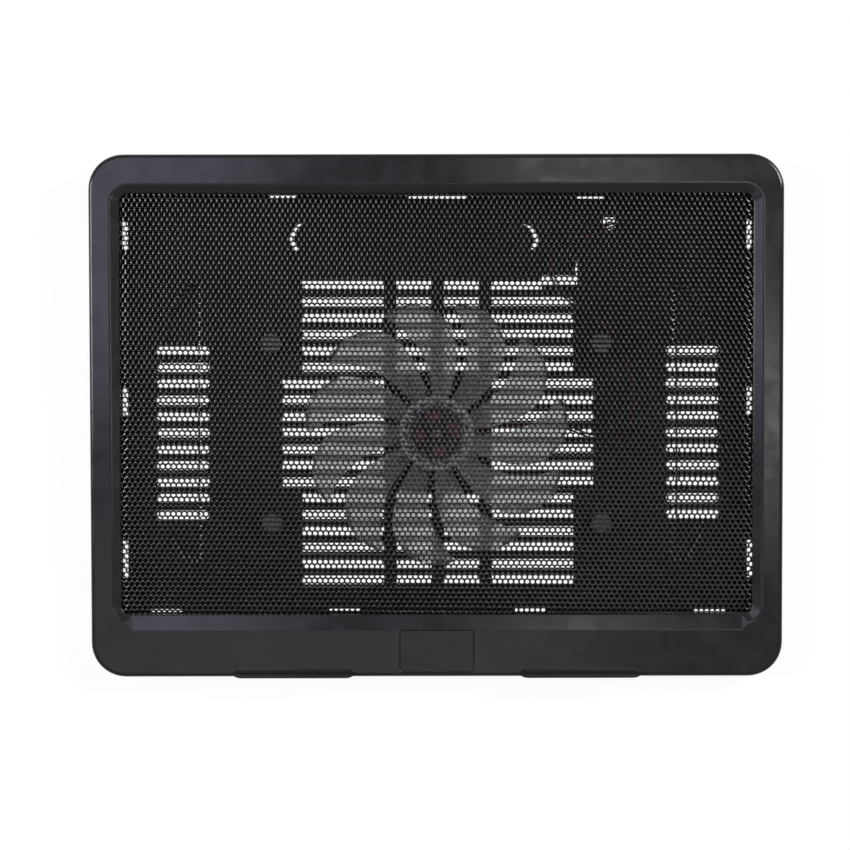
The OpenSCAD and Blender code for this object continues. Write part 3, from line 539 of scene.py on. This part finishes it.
def chip_plastic():
    """Moulded black cases of the small parts on the board."""
    finish = Finish("chip plastic")
    skin = finish.group(MOULDED_GRAIN, Grain=4200.0, Patch=500.0)
    finish.set("Base_Color", finish.colours(skin["Tone"], (0.011, 0.011, 0.012), (0.022, 0.022, 0.023)))
    finish.set("Roughness", spread(finish.tree, skin["Gloss"], 0.0, 1.0, 0.45, 0.65))
    finish.bump(skin["Height"], 0.00002, 0.6)
    return finish.material


def copper_wire():
    """Enamelled copper wire, reddish, with a clear coat."""
    finish = Finish("copper wire", Metallic=0.05, Coat_Weight=0.6, Coat_Roughness=0.15)
    place = object_place(finish.tree)
    tone = spread(finish.tree, noise(finish.tree, place, 1300.0, 4.0), 0.3, 0.7)
    finish.set("Base_Color", finish.colours(tone, (0.84, 0.15, 0.12), (0.95, 0.23, 0.18)))
    finish.set("Roughness", spread(finish.tree, noise(finish.tree, place, 3000.0), 0.3, 0.7, 0.22, 0.36))
    finish.bump(tone, 0.00001, 0.4)
    return finish.material


def vinyl(name, dark, light):
    """Soft vinyl of a wire, slightly wavy and dusty."""
    finish = Finish(name)
    skin = finish.group(MOULDED_GRAIN, Grain=900.0, Patch=200.0)
    film = finish.group(SETTLED_DUST, Amount=0.15, Speck=1200.0)
    tone = finish.colours(skin["Tone"], dark, light)
    finish.set("Base_Color", blend_colours(finish.tree, film["Mask"], tone, (0.3, 0.29, 0.28, 1.0)))
    finish.set("Roughness", spread(finish.tree, skin["Gloss"], 0.0, 1.0, 0.36, 0.5))
    finish.bump(skin["Height"], 0.00002, 0.4)
    return finish.material


def moulded_clear(name, haze, low, high, rough):
    """Clear plastic, faintly wavy from the mould; haze is the share that scatters light."""
    finish = Finish(name, IOR=1.49, Transmission_Weight=1.0 - haze)
    place = object_place(finish.tree)
    flow = noise(finish.tree, stretched(finish.tree, place, 1.0, 1.0, 3.0), 90.0, 4.0)
    finish.set("Base_Color", finish.colours(spread(finish.tree, flow, 0.3, 0.7), low, high))
    patches = noise(finish.tree, place, 260.0, 4.0)
    finish.set("Roughness", spread(finish.tree, patches, 0.3, 0.7, rough - 0.04, rough + 0.04))
    finish.bump(noise(finish.tree, place, 700.0, 3.0), 0.00002, 0.4)
    return finish.material


def milky_plastic():
    """Milky plastic of the blades."""
    return moulded_clear("milky plastic", 0.38, (0.93, 0.935, 0.94), (0.97, 0.975, 0.98), 0.28)


def hub_plastic():
    """Clearer plastic of the hub's rim."""
    return moulded_clear("hub plastic", 0.1, (0.88, 0.885, 0.89), (0.93, 0.935, 0.94), 0.2)


def frosted_plastic():
    """Frosted skin of the hub's rim."""
    return moulded_clear("frosted plastic", 0.92, (0.93, 0.935, 0.94), (0.97, 0.975, 0.98), 0.28)


def polished_plastic():
    """Polished clear middle of the hub's cap."""
    return moulded_clear("polished plastic", 0.03, (0.94, 0.945, 0.95), (0.97, 0.975, 0.98), 0.07)


# Meshes

def new_piece(name, verts, faces, material, body, slot, replaced=(), smooth=None):
    """A mesh piece on a body, in the place of the CAD nodes it stands for."""
    mesh = bpy.data.meshes.new(name)
    mesh.from_pydata([tuple(v) for v in verts], [], [tuple(int(i) for i in f) for f in faces])
    mesh.polygons.foreach_set("use_smooth", [True] * len(mesh.polygons) if smooth is None else smooth)
    mesh.materials.append(material)
    mesh.update()
    piece = bpy.data.objects.new(name, mesh)
    bpy.context.scene.collection.objects.link(piece)
    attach(piece, body)
    if replaced:
        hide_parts(*replaced)
    return piece


def crease(piece, degrees):
    """Keeps edges sharper than an angle crisp, and smooths the rest."""
    piece.data.set_sharp_from_angle(angle=math.radians(degrees))


def ring_walls(count, sides, closed=False):
    """Quads between rings of points that follow one another; closed joins the last ring to the first."""
    faces = []
    for k in range(count if closed else count - 1):
        for i in range(sides):
            a, b = k * sides + i, k * sides + (i + 1) % sides
            c, d = (k + 1) % count * sides + (i + 1) % sides, (k + 1) % count * sides + i
            faces.append((a, b, c, d))
    return faces


def smooth_line(points, steps):
    """Points on the smooth curve through given points."""
    points = [Vector(p) for p in points]
    line = []
    for k in range(len(points) - 1):
        p, q, r, s = (points[max(0, min(len(points) - 1, k + j))] for j in (-1, 0, 1, 2))
        for step in range(steps):
            t = step / steps
            line.append(0.5 * (2 * q + (r - p) * t + (2 * p - 5 * q + 4 * r - s) * t ** 2
                               + (3 * q - p - 3 * r + s) * t ** 3))
    return line + [points[-1]]


def directions(line):
    """Unit direction along a line at each of its points."""
    last = len(line) - 1
    return [(line[min(last, k + 1)] - line[max(0, k - 1)]).normalized() for k in range(last + 1)]


def tube(line, radius, sides):
    """Points and faces of a closed round tube along a line."""
    along = directions(line)
    side = along[0].orthogonal().normalized()
    verts = []
    for point, ahead in zip(line, along):
        side = (side - ahead * side.dot(ahead)).normalized()
        up = ahead.cross(side)
        verts += [point + radius * (math.cos(TURN * i / sides) * side + math.sin(TURN * i / sides) * up)
                  for i in range(sides)]
    faces = ring_walls(len(line), sides)
    faces.append(tuple(reversed(range(sides))))
    faces.append(tuple(range(len(verts) - sides, len(verts))))
    return verts, faces


class Heap:
    """Gathers points and faces of several shapes into one mesh."""

    def __init__(self):
        self.verts, self.faces = [], []

    def put(self, verts, faces):
        first = len(self.verts)
        self.verts += list(verts)
        self.faces += [tuple(first + i for i in f) for f in faces]


# Perforated sheet

def sheet_place():
    """The sheet's middle and slope, and its half width and half depth."""
    low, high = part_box("mesh_panel")
    half_w = (high.x - low.x) / 2
    half_d = (high.y - low.y - SHEET_T * math.sin(SLOPE)) / math.cos(SLOPE) / 2
    return Matrix.Translation((low + high) / 2) @ Matrix.Rotation(SLOPE, 4, "X"), half_w, half_d


def hole_centres(half_w, half_d):
    """Centres of the punched holes that fit in the sheet, in even staggered rows."""
    rise = HOLE_PITCH * math.sin(math.radians(60))
    cols, rows = int(half_w / HOLE_PITCH) + 4, int(half_d / rise) + 4
    j, i = np.mgrid[-rows:rows + 1, -cols:cols + 1]
    x, y = (i + 0.5 * (j % 2)) * HOLE_PITCH, j * rise
    centres = np.stack([x.ravel() + PATTERN_SHIFT[0], y.ravel() + PATTERN_SHIFT[1]], axis=1)
    room = np.array([half_w, half_d]) - HOLE_MARGIN
    return centres[np.all(np.abs(laid(centres)) < room, axis=1)]


def laid(points):
    """Points of the even pattern as they lie in the sheet: turned, leaning and drawn out a little."""
    c, s = math.cos(PATTERN_TURN), math.sin(PATTERN_TURN)
    x, y = c * points[:, 0] - s * points[:, 1], s * points[:, 0] + c * points[:, 1]
    return np.stack([x + PATTERN_LEAN * y, PATTERN_STRETCH * y], axis=1)


def eased(share):
    """A smooth rise from 0 to 1."""
    share = np.clip(share, 0, 1)
    return share * share * (3 - 2 * share)


def pressed(points):
    """How far the sheet is pressed down at points of its plan: in the side panels, and along its rim."""
    x, y = np.abs(points[:, 0]), points[:, 1]
    out, along = np.maximum(0, x - PANEL_X) / PANEL_W, np.abs(y - PANEL_MID) / PANEL_HALF
    inward = PANEL_W * (1 - (out ** PANEL_ROUND + along ** PANEL_ROUND) ** (1 / PANEL_ROUND))
    floor_drop = PANEL_DEEP * (1 - PANEL_FADE * np.minimum(1, out))
    panel = floor_drop * eased(np.minimum(x - PANEL_X, inward) / PANEL_EDGE)
    beyond = np.maximum(x - RIM_X, np.abs(y) - RIM_Y)
    return panel + RIM_DEEP * eased(beyond / RIM_BEND)


def spokes(radius, angles):
    """Points round a circle at angles in degrees."""
    turned = np.radians(angles)
    return radius * np.stack([np.cos(turned), np.sin(turned)], axis=1)


def cell_corners(centres):
    """The six-sided cells round the holes: their shared corners, and each cell's six corner numbers."""
    corners = centres[:, None, :] + spokes(HOLE_PITCH / math.sqrt(3), np.arange(30, 390, 60))[None]
    rounded = np.round(corners.reshape(-1, 2) / SAME_POINT).astype(int)
    keys, index = np.unique(rounded, axis=0, return_inverse=True)
    shared = np.zeros((len(keys), 2))
    shared[index.ravel()] = corners.reshape(-1, 2)
    return laid(shared), index.reshape(-1, 6)


def rim_edges(cells):
    """Edges that belong to one cell only, as pairs of corner numbers, counter-clockwise."""
    pairs = np.stack([cells, np.roll(cells, -1, axis=1)], axis=2).reshape(-1, 2)
    _, index, count = np.unique(np.sort(pairs, axis=1), axis=0, return_inverse=True, return_counts=True)
    return pairs[count[index.ravel()] == 1]


def hole_rings():
    """How far each ring of a hole lies outside its radius and below the face: rolled edge, then wall."""
    rolled = [(ROLL_WIDE * (1 - u), WEB_CROWN + ROLL_DEEP * (1 - math.sqrt(1 - u * u))) for u in ROLL_STEPS]
    return rolled + [(0.0, SHEET_T)]


def perforated_mesh(centres):
    """Points, faces and smooth flags of a punched strip of sheet, its holes rolled in at the upper edge."""
    shared, cells = cell_corners(centres)
    below, count = len(shared), len(centres) * HOLE_SIDES
    verts = [np.c_[shared, np.full(below, z)] for z in (SHEET_T / 2, -SHEET_T / 2)]
    angles = np.arange(HOLE_SIDES) * 360 / HOLE_SIDES
    for out, drop in hole_rings():
        points = laid(centres)[:, None, :] + spokes(HOLE_D / 2 + out, angles)[None]
        verts.append(np.c_[points.reshape(-1, 2), np.full(count, SHEET_T / 2 - drop)])
    first = 2 * below + np.arange(count).reshape(-1, HOLE_SIDES)
    rings = [first + k * count for k in range(len(hole_rings()))]
    top = cell_faces(cells, rings[0])
    bottom = cell_faces(cells + below, rings[-1])[:, ::-1]
    wall = np.concatenate([
        np.stack([upper, np.roll(upper, -1, 1), np.roll(lower, -1, 1), lower], 2).reshape(-1, 4)
        for upper, lower in zip(rings, rings[1:])])
    rim = rim_edges(cells)
    edge = np.stack([rim[:, 1], rim[:, 0], rim[:, 0] + below, rim[:, 1] + below], 1)
    faces = [*top.tolist(), *wall.tolist(), *bottom.tolist(), *edge.tolist()]
    smooth = [False] * len(top) + [True] * len(wall) + [False] * (len(bottom) + len(edge))
    verts = np.concatenate(verts)
    verts[:, 2] -= pressed(verts[:, :2])
    return verts, faces, smooth


def cell_faces(cells, ring):
    """Flat faces between the corners of each cell and the ring of points in it."""
    faces = []
    for k in range(6):
        a, b = cells[:, k], cells[:, (k + 1) % 6]
        p, q, r = (ring[:, (2 * k + n) % HOLE_SIDES] for n in (1, 2, 3))
        faces += [np.stack([a, b, q], 1), np.stack([a, q, p], 1), np.stack([b, r, q], 1)]
    return np.concatenate(faces)


def rounded_outline(half_w, half_d, radius, steps=10):
    """Points round a rectangle with round corners, counter-clockwise."""
    points = []
    for k, (sx, sy) in enumerate(((1, 1), (-1, 1), (-1, -1), (1, -1))):
        for i in range(steps + 1):
            angle = (k + i / steps) * math.pi / 2
            points.append((sx * (half_w - radius) + radius * math.cos(angle),
                           sy * (half_d - radius) + radius * math.sin(angle)))
    return points


def plain_border(centres, half_w, half_d):
    """The unpunched border of the sheet, between its outline and the outermost cells."""
    shared, cells = cell_corners(centres)
    follow = {int(a): int(b) for a, b in rim_edges(cells)}
    walk = [min(follow)]
    while follow[walk[-1]] != walk[0]:
        walk.append(follow[walk[-1]])
    inner = [tuple(shared[i]) for i in walk]
    outer = rounded_outline(half_w, half_d, SHEET_CORNER)
    flat = [Vector((x, y, 0)) for x, y in outer + inner]
    fill = tessellate_polygon([flat[:len(outer)], flat[len(outer):]])
    below = len(flat)
    drops = pressed(np.array([(p.x, p.y) for p in flat]))
    verts = [(p.x, p.y, face - drop) for face in (SHEET_T / 2, -SHEET_T / 2) for p, drop in zip(flat, drops)]
    faces = []
    for a, b, c in fill:
        if (flat[b] - flat[a]).cross(flat[c] - flat[a]).z < 0:
            b, c = c, b
        faces += [(a, b, c), (c + below, b + below, a + below)]
    for first, count, flip in ((0, len(outer), True), (len(outer), len(inner), False)):
        for i in range(count):
            a, b = first + i, first + (i + 1) % count
            a, b = (b, a) if flip else (a, b)
            faces.append((a, b, b + below, a + below))
    return verts, faces


def perforated_sheet(paint):
    """The deck's steel sheet: punched strips side by side, and the plain border round them."""
    place, half_w, half_d = sheet_place()
    centres = hole_centres(half_w, half_d)
    order = np.argsort(centres[:, 0], kind="stable")
    pieces = []
    for k, part in enumerate(np.array_split(order, SHEET_STRIPS)):
        verts, faces, smooth = perforated_mesh(centres[np.sort(part)])
        pieces.append(new_piece(f"punched_strip_{k + 1}", verts, faces, paint, "housing", "mesh_paint",
                                ["mesh_panel"], smooth))
    verts, faces = plain_border(centres, half_w, half_d)
    pieces.append(new_piece("sheet_border", verts, faces, paint, "housing", "mesh_paint", ["mesh_panel"],
                            [False] * len(faces)))
    for piece in pieces:
        piece.data.transform(place)


# Impeller

def blade_mesh():
    """One swept blade on the X axis: rings of points round its section, from the hub to the tip."""
    shares = [0.5 - 0.5 * math.cos(math.pi * k / BLADE_ACROSS) for k in range(BLADE_ACROSS + 1)]
    loop = [(u, 1) for u in shares] + [(u, -1) for u in reversed(shares[1:-1])]
    verts = []
    for k in range(BLADE_OUT + 1):
        for u, side in loop:
            radius = BLADE_ROOT + (blade_reach(u) - BLADE_ROOT) * k / BLADE_OUT
            verts.append(blade_point(radius, u, side))
    faces = ring_walls(BLADE_OUT + 1, len(loop))
    faces.append(tuple(reversed(range(len(loop)))))
    faces.append(tuple(range(len(verts) - len(loop), len(verts))))
    return verts, [tuple(reversed(f)) for f in faces]


def blade_reach(u):
    """How far a blade reaches at a share u of its chord: cut back at one corner, rounded at the other."""
    cut = max(0.0, 1 - u / TIP_CUT_TO)
    turn = max(0.0, (u - TIP_ROUND_FROM) / (1 - TIP_ROUND_FROM))
    return TIP_R - TIP_CUT * cut ** 2 - TIP_ROUND * turn ** 2


def blade_point(radius, u, side):
    """A point on a blade: u runs along the chord and side is the upper or lower face."""
    reach = max(0.0, (radius - HUB_R) / (TIP_R - HUB_R))
    angle = BLADE_SWEEP * reach ** 2 + BLADE_SPAN * (u - 0.5)
    drop = (BLADE_H - BLADE_T - BLADE_SLACK) * (1 - BLADE_FLATTER * reach)
    camber = BLADE_CAMBER * math.sin(TURN * u)
    middle = ROTOR_LOW + BLADE_FOOT + BLADE_H / 2 - drop * (u - 0.5 - camber)
    round_edge = math.sqrt(max(0.0, 1 - max(0.0, 1 - min(u, 1 - u) / BLADE_EDGE) ** 2))
    thick = BLADE_T * (BLADE_THIN + (1 - BLADE_THIN) * math.sin(math.pi * u)) * round_edge
    return Vector((radius * math.cos(angle), radius * math.sin(angle), middle + side * thick / 2))


def hub_profile():
    """Closed outline of the hub's rim: radius, height and pocket flag."""
    top, low, under = ROTOR_TOP, ROTOR_LOW, ROTOR_TOP - HUB_CAP
    inside = HUB_R - HUB_WALL
    line = [(WINDOW_R, top - WINDOW_DROP, False)] + [(r * MM, top + z * MM, False) for r, z in HUB_INNER_RIM]
    line += [(r, top - POCKET_LIP, True) for r in (POCKET_R[0] + POCKET_WALL, POCKET_R[1] - POCKET_WALL)]
    line += [(r * MM, top + z * MM, False) for r, z in HUB_OUTER_RIM]
    line += [(HUB_R, low + HUB_CHAMFER, False), (HUB_R - HUB_CHAMFER, low, False)]
    line += [(inside + HUB_CHAMFER, low, False), (inside, low + HUB_CHAMFER, False)]
    line += [(inside, under, False), (WINDOW_R, under, False)]
    return line


def window_profile():
    """Outline of the polished middle of the cap with its boss, from the axis round to the bore."""
    top, under = ROTOR_TOP - WINDOW_DROP, ROTOR_TOP - HUB_CAP
    boss_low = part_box("stator_core")[1].z + BOSS_DROP
    edge = WINDOW_R - WINDOW_GAP
    line = [(0.0, top), (WINDOW_RING, top), (edge, top), (edge, under), (BOSS_R + BOSS_CHAMFER, under)]
    line += [(BOSS_R, under - BOSS_CHAMFER), (BOSS_R, boss_low), (BORE_R, boss_low)]
    line += [(BORE_R, under - BORE_TOP), (0.0, under - BORE_TOP)]
    return [(radius, height, False) for radius, height in line]


def turned_mesh(profile, closed):
    """A turned shape from its outline; points with the pocket flag are sunk where a pocket lies."""
    steps = POCKETS * POCKET_STEPS
    verts = []
    for radius, height, pocket in profile:
        for i in range(steps):
            angle = TURN * i / steps
            turn = (angle % (TURN / POCKETS)) / POCKET_SPAN
            sunk = POCKET_DEEP - POCKET_LIP if pocket and 0.02 < turn < 0.98 else 0.0
            verts.append(Vector((radius * math.cos(angle), radius * math.sin(angle), height - sunk)))
    return verts, [tuple(reversed(f)) for f in ring_walls(len(profile), steps, closed=closed)]


def weld(piece):
    """Joins points that lie together, such as the middle of a turned shape."""
    work = bmesh.new()
    work.from_mesh(piece.data)
    bmesh.ops.remove_doubles(work, verts=work.verts, dist=0.001 * MM)
    work.to_mesh(piece.data)
    work.free()


def frost_rings(piece, frosted):
    """Gives the rim of the hub's top its frosted skin, and leaves the pockets in it clear."""
    piece.data.materials.append(frosted)
    for face in piece.data.polygons:
        radius = math.hypot(face.center.x, face.center.y)
        if face.center.z > ROTOR_TOP - FROSTED_DROP and FROSTED_R[0] < radius < FROSTED_R[1]:
            face.material_index = 1


def impeller(milky, rim, frosted, clear):
    """Milky swept blades, a clearer hub and its polished middle, as separate pieces of one moulding."""
    axis = Matrix.Translation((FAN_AXIS.x, FAN_AXIS.y, 0))
    hub = new_piece("impeller_hub", *turned_mesh(hub_profile(), True), rim, "fan_rotor", "clear_plastic",
                    ["impeller"])
    window = new_piece("impeller_window", *turned_mesh(window_profile(), False), clear, "fan_rotor",
                       "clear_plastic", ["impeller"])
    frost_rings(hub, frosted)
    for piece in (hub, window):
        weld(piece)
        piece.data.transform(axis)
        crease(piece, 40)
    heap = Heap()
    verts, faces = blade_mesh()
    for k in range(BLADES):
        turn = Matrix.Rotation(BLADE_TURN + TURN * k / BLADES, 4, "Z")
        heap.put([turn @ v for v in verts], faces)
    blades = new_piece("impeller_blades", heap.verts, heap.faces, milky, "fan_rotor", "clear_plastic",
                       ["impeller"])
    blades.data.transform(axis)
    crease(blades, 60)


# Windings, wires, discs and tread

def coil_line(low, high):
    """Path of one winding on the X axis: squarish turns that run out and back in layers."""
    middle = (low + high) / 2
    turns = int((COIL_OUT - COIL_IN) / COIL_WIRE) - 1
    line = []
    for layer in range(COIL_LAYERS):
        inset = COIL_WIRE / 2 + layer * COIL_WIRE * COIL_NEST
        half_y, half_z = COIL_HALF[0] - inset, COIL_HALF[1] - inset
        for k in range(turns * COIL_STEPS):
            share = k / (turns * COIL_STEPS)
            share = share if layer % 2 == 0 else 1 - share
            angle = TURN * k / COIL_STEPS
            c, s = math.cos(angle), math.sin(angle)
            along = COIL_IN + COIL_WIRE / 2 + (COIL_OUT - COIL_IN - COIL_WIRE) * share
            line.append(Vector((along, half_y * math.copysign(abs(c) ** COIL_SQUARE, c),
                                middle + half_z * math.copysign(abs(s) ** COIL_SQUARE, s))))
    return line


def windings(copper):
    """Enamelled wire wound on the four poles."""
    low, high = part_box("stator_coils")
    verts, faces = tube(coil_line(low.z, high.z), COIL_WIRE_R, COIL_SIDES)
    axis = Matrix.Translation((FAN_AXIS.x, FAN_AXIS.y, 0))
    heap = Heap()
    for k in range(POLES):
        turn = axis @ Matrix.Rotation(POLE_TURN + TURN * k / POLES, 4, "Z")
        heap.put([turn @ v for v in verts], faces)
    new_piece("coil_windings", heap.verts, heap.faces, copper, "housing", "copper", ["stator_coils"])


def lead_wire(name, side, material, slot):
    """One wire of the fan's lead, beside the route."""
    line = smooth_line([Vector(p) * MM + Vector((0, HOUSE_Y, 0)) for p in LEAD_ROUTE], WIRE_STEPS)
    beside = [point + side * WIRE_GAP * Vector((-d.y, d.x, 0)).normalized()
              for point, d in zip(line, directions(line))]
    verts, faces = tube(beside, WIRE_R, WIRE_SIDES)
    piece = new_piece(f"{name}_wire", verts, faces, material, "housing", slot, [name])
    crease(piece, 60)


def foam_discs(material):
    """Soft discs between the posts and the sheet, swollen at the side and crowned where they press."""
    place = sheet_place()[0]
    under = place.translation.z - (SHEET_T / 2 + REST_GAP) / math.cos(SLOPE)
    heap = Heap()
    for x in (-REST_X, REST_X):
        for y in (FAN_AXIS.y - REST_DY, FAN_AXIS.y + REST_DY):
            foot = under + (y - place.translation.y) * math.tan(SLOPE) - REST_H - REST_R * math.tan(SLOPE)
            verts = []
            for share, height in REST_RINGS:
                for i in range(REST_SIDES):
                    px = x + REST_R * share * math.cos(TURN * i / REST_SIDES)
                    py = y + REST_R * share * math.sin(TURN * i / REST_SIDES)
                    top = under + (py - place.translation.y) * math.tan(SLOPE)
                    verts.append(Vector((px, py, foot + (top - foot) * height)))
            faces = ring_walls(len(REST_RINGS), REST_SIDES)
            faces += [tuple(reversed(range(REST_SIDES))), tuple(range(len(verts) - REST_SIDES, len(verts)))]
            heap.put(verts, faces)
    piece = new_piece("foam_discs", heap.verts, heap.faces, material, "housing", "foam", ["mesh_rests"])


def ribbed_tread(material):
    """Rubber strip of the stand with fine ribs across it."""
    low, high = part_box("stand_tread")
    section = [(low.y, low.z + TREAD_OUTER), (low.y, high.z - TREAD_OUTER), (low.y + TREAD_OUTER, high.z),
               (high.y - TREAD_INNER, high.z), (high.y, high.z - TREAD_INNER),
               (high.y, low.z + TREAD_INNER), (high.y - TREAD_INNER, low.z), (low.y + TREAD_OUTER, low.z)]
    stations = [((k + share) / TREAD_RIBS, sunk) for k in range(TREAD_RIBS) for share, sunk in TREAD_RIB]
    stations.append((1.0, 0.0))
    verts = []
    for share, sunk in stations:
        for y, z in section:
            inward = TREAD_DEEP * sunk if y < low.y + TREAD_DEEP else 0.0
            verts.append(Vector((low.x + (high.x - low.x) * share, y + inward, z)))
    faces = ring_walls(len(stations), len(section))
    faces += [tuple(reversed(range(len(section)))), tuple(range(len(verts) - len(section), len(verts)))]
    piece = new_piece("ribbed_tread", verts, [tuple(reversed(f)) for f in faces], material, "stand", "rubber",
                      ["stand_tread"])
    crease(piece, 25)


def dress(material, *nodes):
    """Gives CAD nodes a finish."""
    for node in nodes:
        slots = frame["nodes"][node].data.materials
        slots.clear()
        slots.append(material)


# Studio

def floor():
    """Pale floor: white to the eye, also in reflections and through clear plastic, and it keeps shadows."""
    steps = [FLOOR_HALF * (i / FLOOR_CELLS - 0.5) * 2 for i in range(FLOOR_CELLS + 1)]
    row = len(steps)
    verts = [(x, y, -FLOOR_GAP) for y in steps for x in steps]
    faces = [(j * row + i, j * row + i + 1, (j + 1) * row + i + 1, (j + 1) * row + i)
             for j in range(FLOOR_CELLS) for i in range(FLOOR_CELLS)]
    mesh = bpy.data.meshes.new("floor")
    mesh.from_pydata(verts, [], faces)
    plane = bpy.data.objects.new("floor", mesh)
    bpy.context.scene.collection.objects.link(plane)
    mesh.materials.append(floor_white())


def floor_white():
    """The floor's material: white where it is seen, pale paint to other rays, and open from below."""
    material = bpy.data.materials.new("floor white")
    material.use_nodes = True
    tree = material.node_tree
    tree.nodes.remove(tree.nodes["Principled BSDF"])
    path = add(tree, "ShaderNodeLightPath").outputs
    mirrored = calc(tree, "MAXIMUM", path["Is Glossy Ray"], path["Is Transmission Ray"])
    seen = calc(tree, "MAXIMUM", path["Is Camera Ray"], mirrored)
    glow = add(tree, "ShaderNodeEmission", Color=(1, 1, 1, 1), Strength=FLOOR_GLOW)
    shade = add(tree, "ShaderNodeBsdfDiffuse", Color=(FLOOR_SHADE, FLOOR_SHADE, FLOOR_SHADE, 1))
    white = add(tree, "ShaderNodeAddShader")
    tree.links.new(glow.outputs[0], white.inputs[0])
    tree.links.new(shade.outputs[0], white.inputs[1])
    paint = add(tree, "ShaderNodeBsdfDiffuse", Color=(FLOOR_PAINT, FLOOR_PAINT, FLOOR_PAINT, 1))
    above = add(tree, "ShaderNodeMixShader", Fac=seen)
    tree.links.new(paint.outputs[0], above.inputs[1])
    tree.links.new(white.outputs[0], above.inputs[2])
    both = add(tree, "ShaderNodeMixShader", Fac=add(tree, "ShaderNodeNewGeometry").outputs["Backfacing"])
    tree.links.new(above.outputs[0], both.inputs[1])
    tree.links.new(add(tree, "ShaderNodeBsdfTransparent").outputs[0], both.inputs[2])
    tree.links.new(both.outputs[0], tree.nodes["Material Output"].inputs["Surface"])
    return material


def studio_world():
    """A dim room, darkest overhead, and white below the floor."""
    world = bpy.data.worlds.new("studio")
    bpy.context.scene.world = world
    world.use_nodes = True
    tree = world.node_tree
    way = add(tree, "ShaderNodeSeparateXYZ", Vector=add(tree, "ShaderNodeTexCoord").outputs["Generated"])
    room = spread(tree, way.outputs["Z"], 0.05, 0.7, 0.03, 0.002)
    below = spread(tree, way.outputs["Z"], -0.02, -0.1, 0.0, 0.95)
    feed(tree, tree.nodes["Background"].inputs["Color"], (1, 1, 1, 1))
    feed(tree, tree.nodes["Background"].inputs["Strength"], calc(tree, "MAXIMUM", room, below))


def softbox(name, place, target, size, radiance, colour, turn=0.0):
    """A soft lamp that faces a point: its width and height, its brightness, and its turn in its own plane."""
    lamp = bpy.data.lights.new(name, "AREA")
    lamp.shape = "RECTANGLE"
    lamp.size, lamp.size_y = size
    lamp.energy = radiance * math.pi * size[0] * size[1]
    lamp.color = colour
    holder = bpy.data.objects.new(name, lamp)
    facing = (Vector(target) - Vector(place)).to_track_quat("-Z", "Y").to_matrix().to_4x4()
    holder.matrix_world = Matrix.Translation(place) @ facing @ Matrix.Rotation(turn, 4, "Z")
    bpy.context.scene.collection.objects.link(holder)


def softboxes():
    """Soft lamps: a cool one over the left, two strong ones low at the sides, a slanting strip over the
    right border and a weak one over the front."""
    cool, plain, warm = (0.78, 0.75, 1.0), (0.96, 0.96, 1.0), (1.0, 0.92, 0.93)
    softbox("left softbox", (-0.4, 0.2, 1.62), (-0.4, 0.2, 0), (0.44, 0.71), 1.65, cool)
    softbox("far left softbox", (-1.3, 0.1, 1.3), (0, 0, 0), (0.48, 0.9), 9.6, plain)
    softbox("right softbox", (1.2, 0.56, 1.3), (0, 0, 0), (0.48, 0.9), 12.5, plain)
    softbox("strip softbox", (0.268, -0.058, 1.6), (0.268, -0.058, 0), (0.49, 0.12), 2.8, warm, STRIP_TURN)
    softbox("front softbox", (-0.12, -0.42, 1.6), (-0.12, -0.42, 0), (0.62, 0.28), 0.5, plain)


def camera():
    """Looks straight down, at the distance and with the lens that give the photograph's scale."""
    lens = bpy.data.cameras.new("camera")
    lens.sensor_width = SENSOR_MM
    lens.lens = CAMERA_HEIGHT * PX_PER_M * SENSOR_MM / IMAGE_PX
    lens.clip_start, lens.clip_end = 0.05, 20
    holder = bpy.data.objects.new("camera", lens)
    middle = IMAGE_PX / 2
    holder.rotation_euler = (0, 0, CAMERA_ROLL)
    holder.location = (DECK_MIDDLE.x - (DECK_MIDDLE_PX[0] - middle) / PX_PER_M,
                       DECK_MIDDLE.y + (DECK_MIDDLE_PX[1] - middle) / PX_PER_M, DECK_MIDDLE.z + CAMERA_HEIGHT)
    bpy.context.scene.collection.objects.link(holder)
    bpy.context.scene.camera = holder


def dress_solids():
    """Finishes of the pieces whose solids are shown."""
    dress(frame_plastic(), "top_frame")
    dress(shade_darkened_base_plastic(), "base_shell", "motor_carrier", "rear_stand")
    dress(badge_plastic(), "badge_plate")
    dress(screw_zinc(), "housing_screws", "carrier_screws", "shaft_clip")
    dress(bright_steel(), "fan_shaft", "stand_pin")
    dress(bronze(), "bearing_sleeve")
    dress(core_steel(), "stator_core", "rotor_yoke")
    dress(ferrite(), "magnet_ring")
    dress(board_lacquer(), "motor_board")
    dress(chip_plastic(), "board_parts")
    dress(white_plastic(), "thrust_pad")


def build():
    """Everything in the scene."""
    camera()
    dress_solids()
    black_rubber = rubber()
    dress(black_rubber, "front_feet", "rear_feet", "cord_gland")
    ribbed_tread(black_rubber)
    perforated_sheet(sheet_paint())
    impeller(milky_plastic(), hub_plastic(), frosted_plastic(), polished_plastic())
    windings(copper_wire())
    lead_wire("lead_red", -1, vinyl("red vinyl", (0.1, 0.006, 0.006), (0.15, 0.008, 0.008)), "wire_red")
    lead_wire("lead_black", 1, vinyl("black vinyl", (0.012, 0.012, 0.012), (0.02, 0.02, 0.02)), "wire_black")
    foam_discs(foam())
    floor()
    studio_world()
    softboxes()


build()
bpy.context.scene.view_settings.view_transform = "Standard"
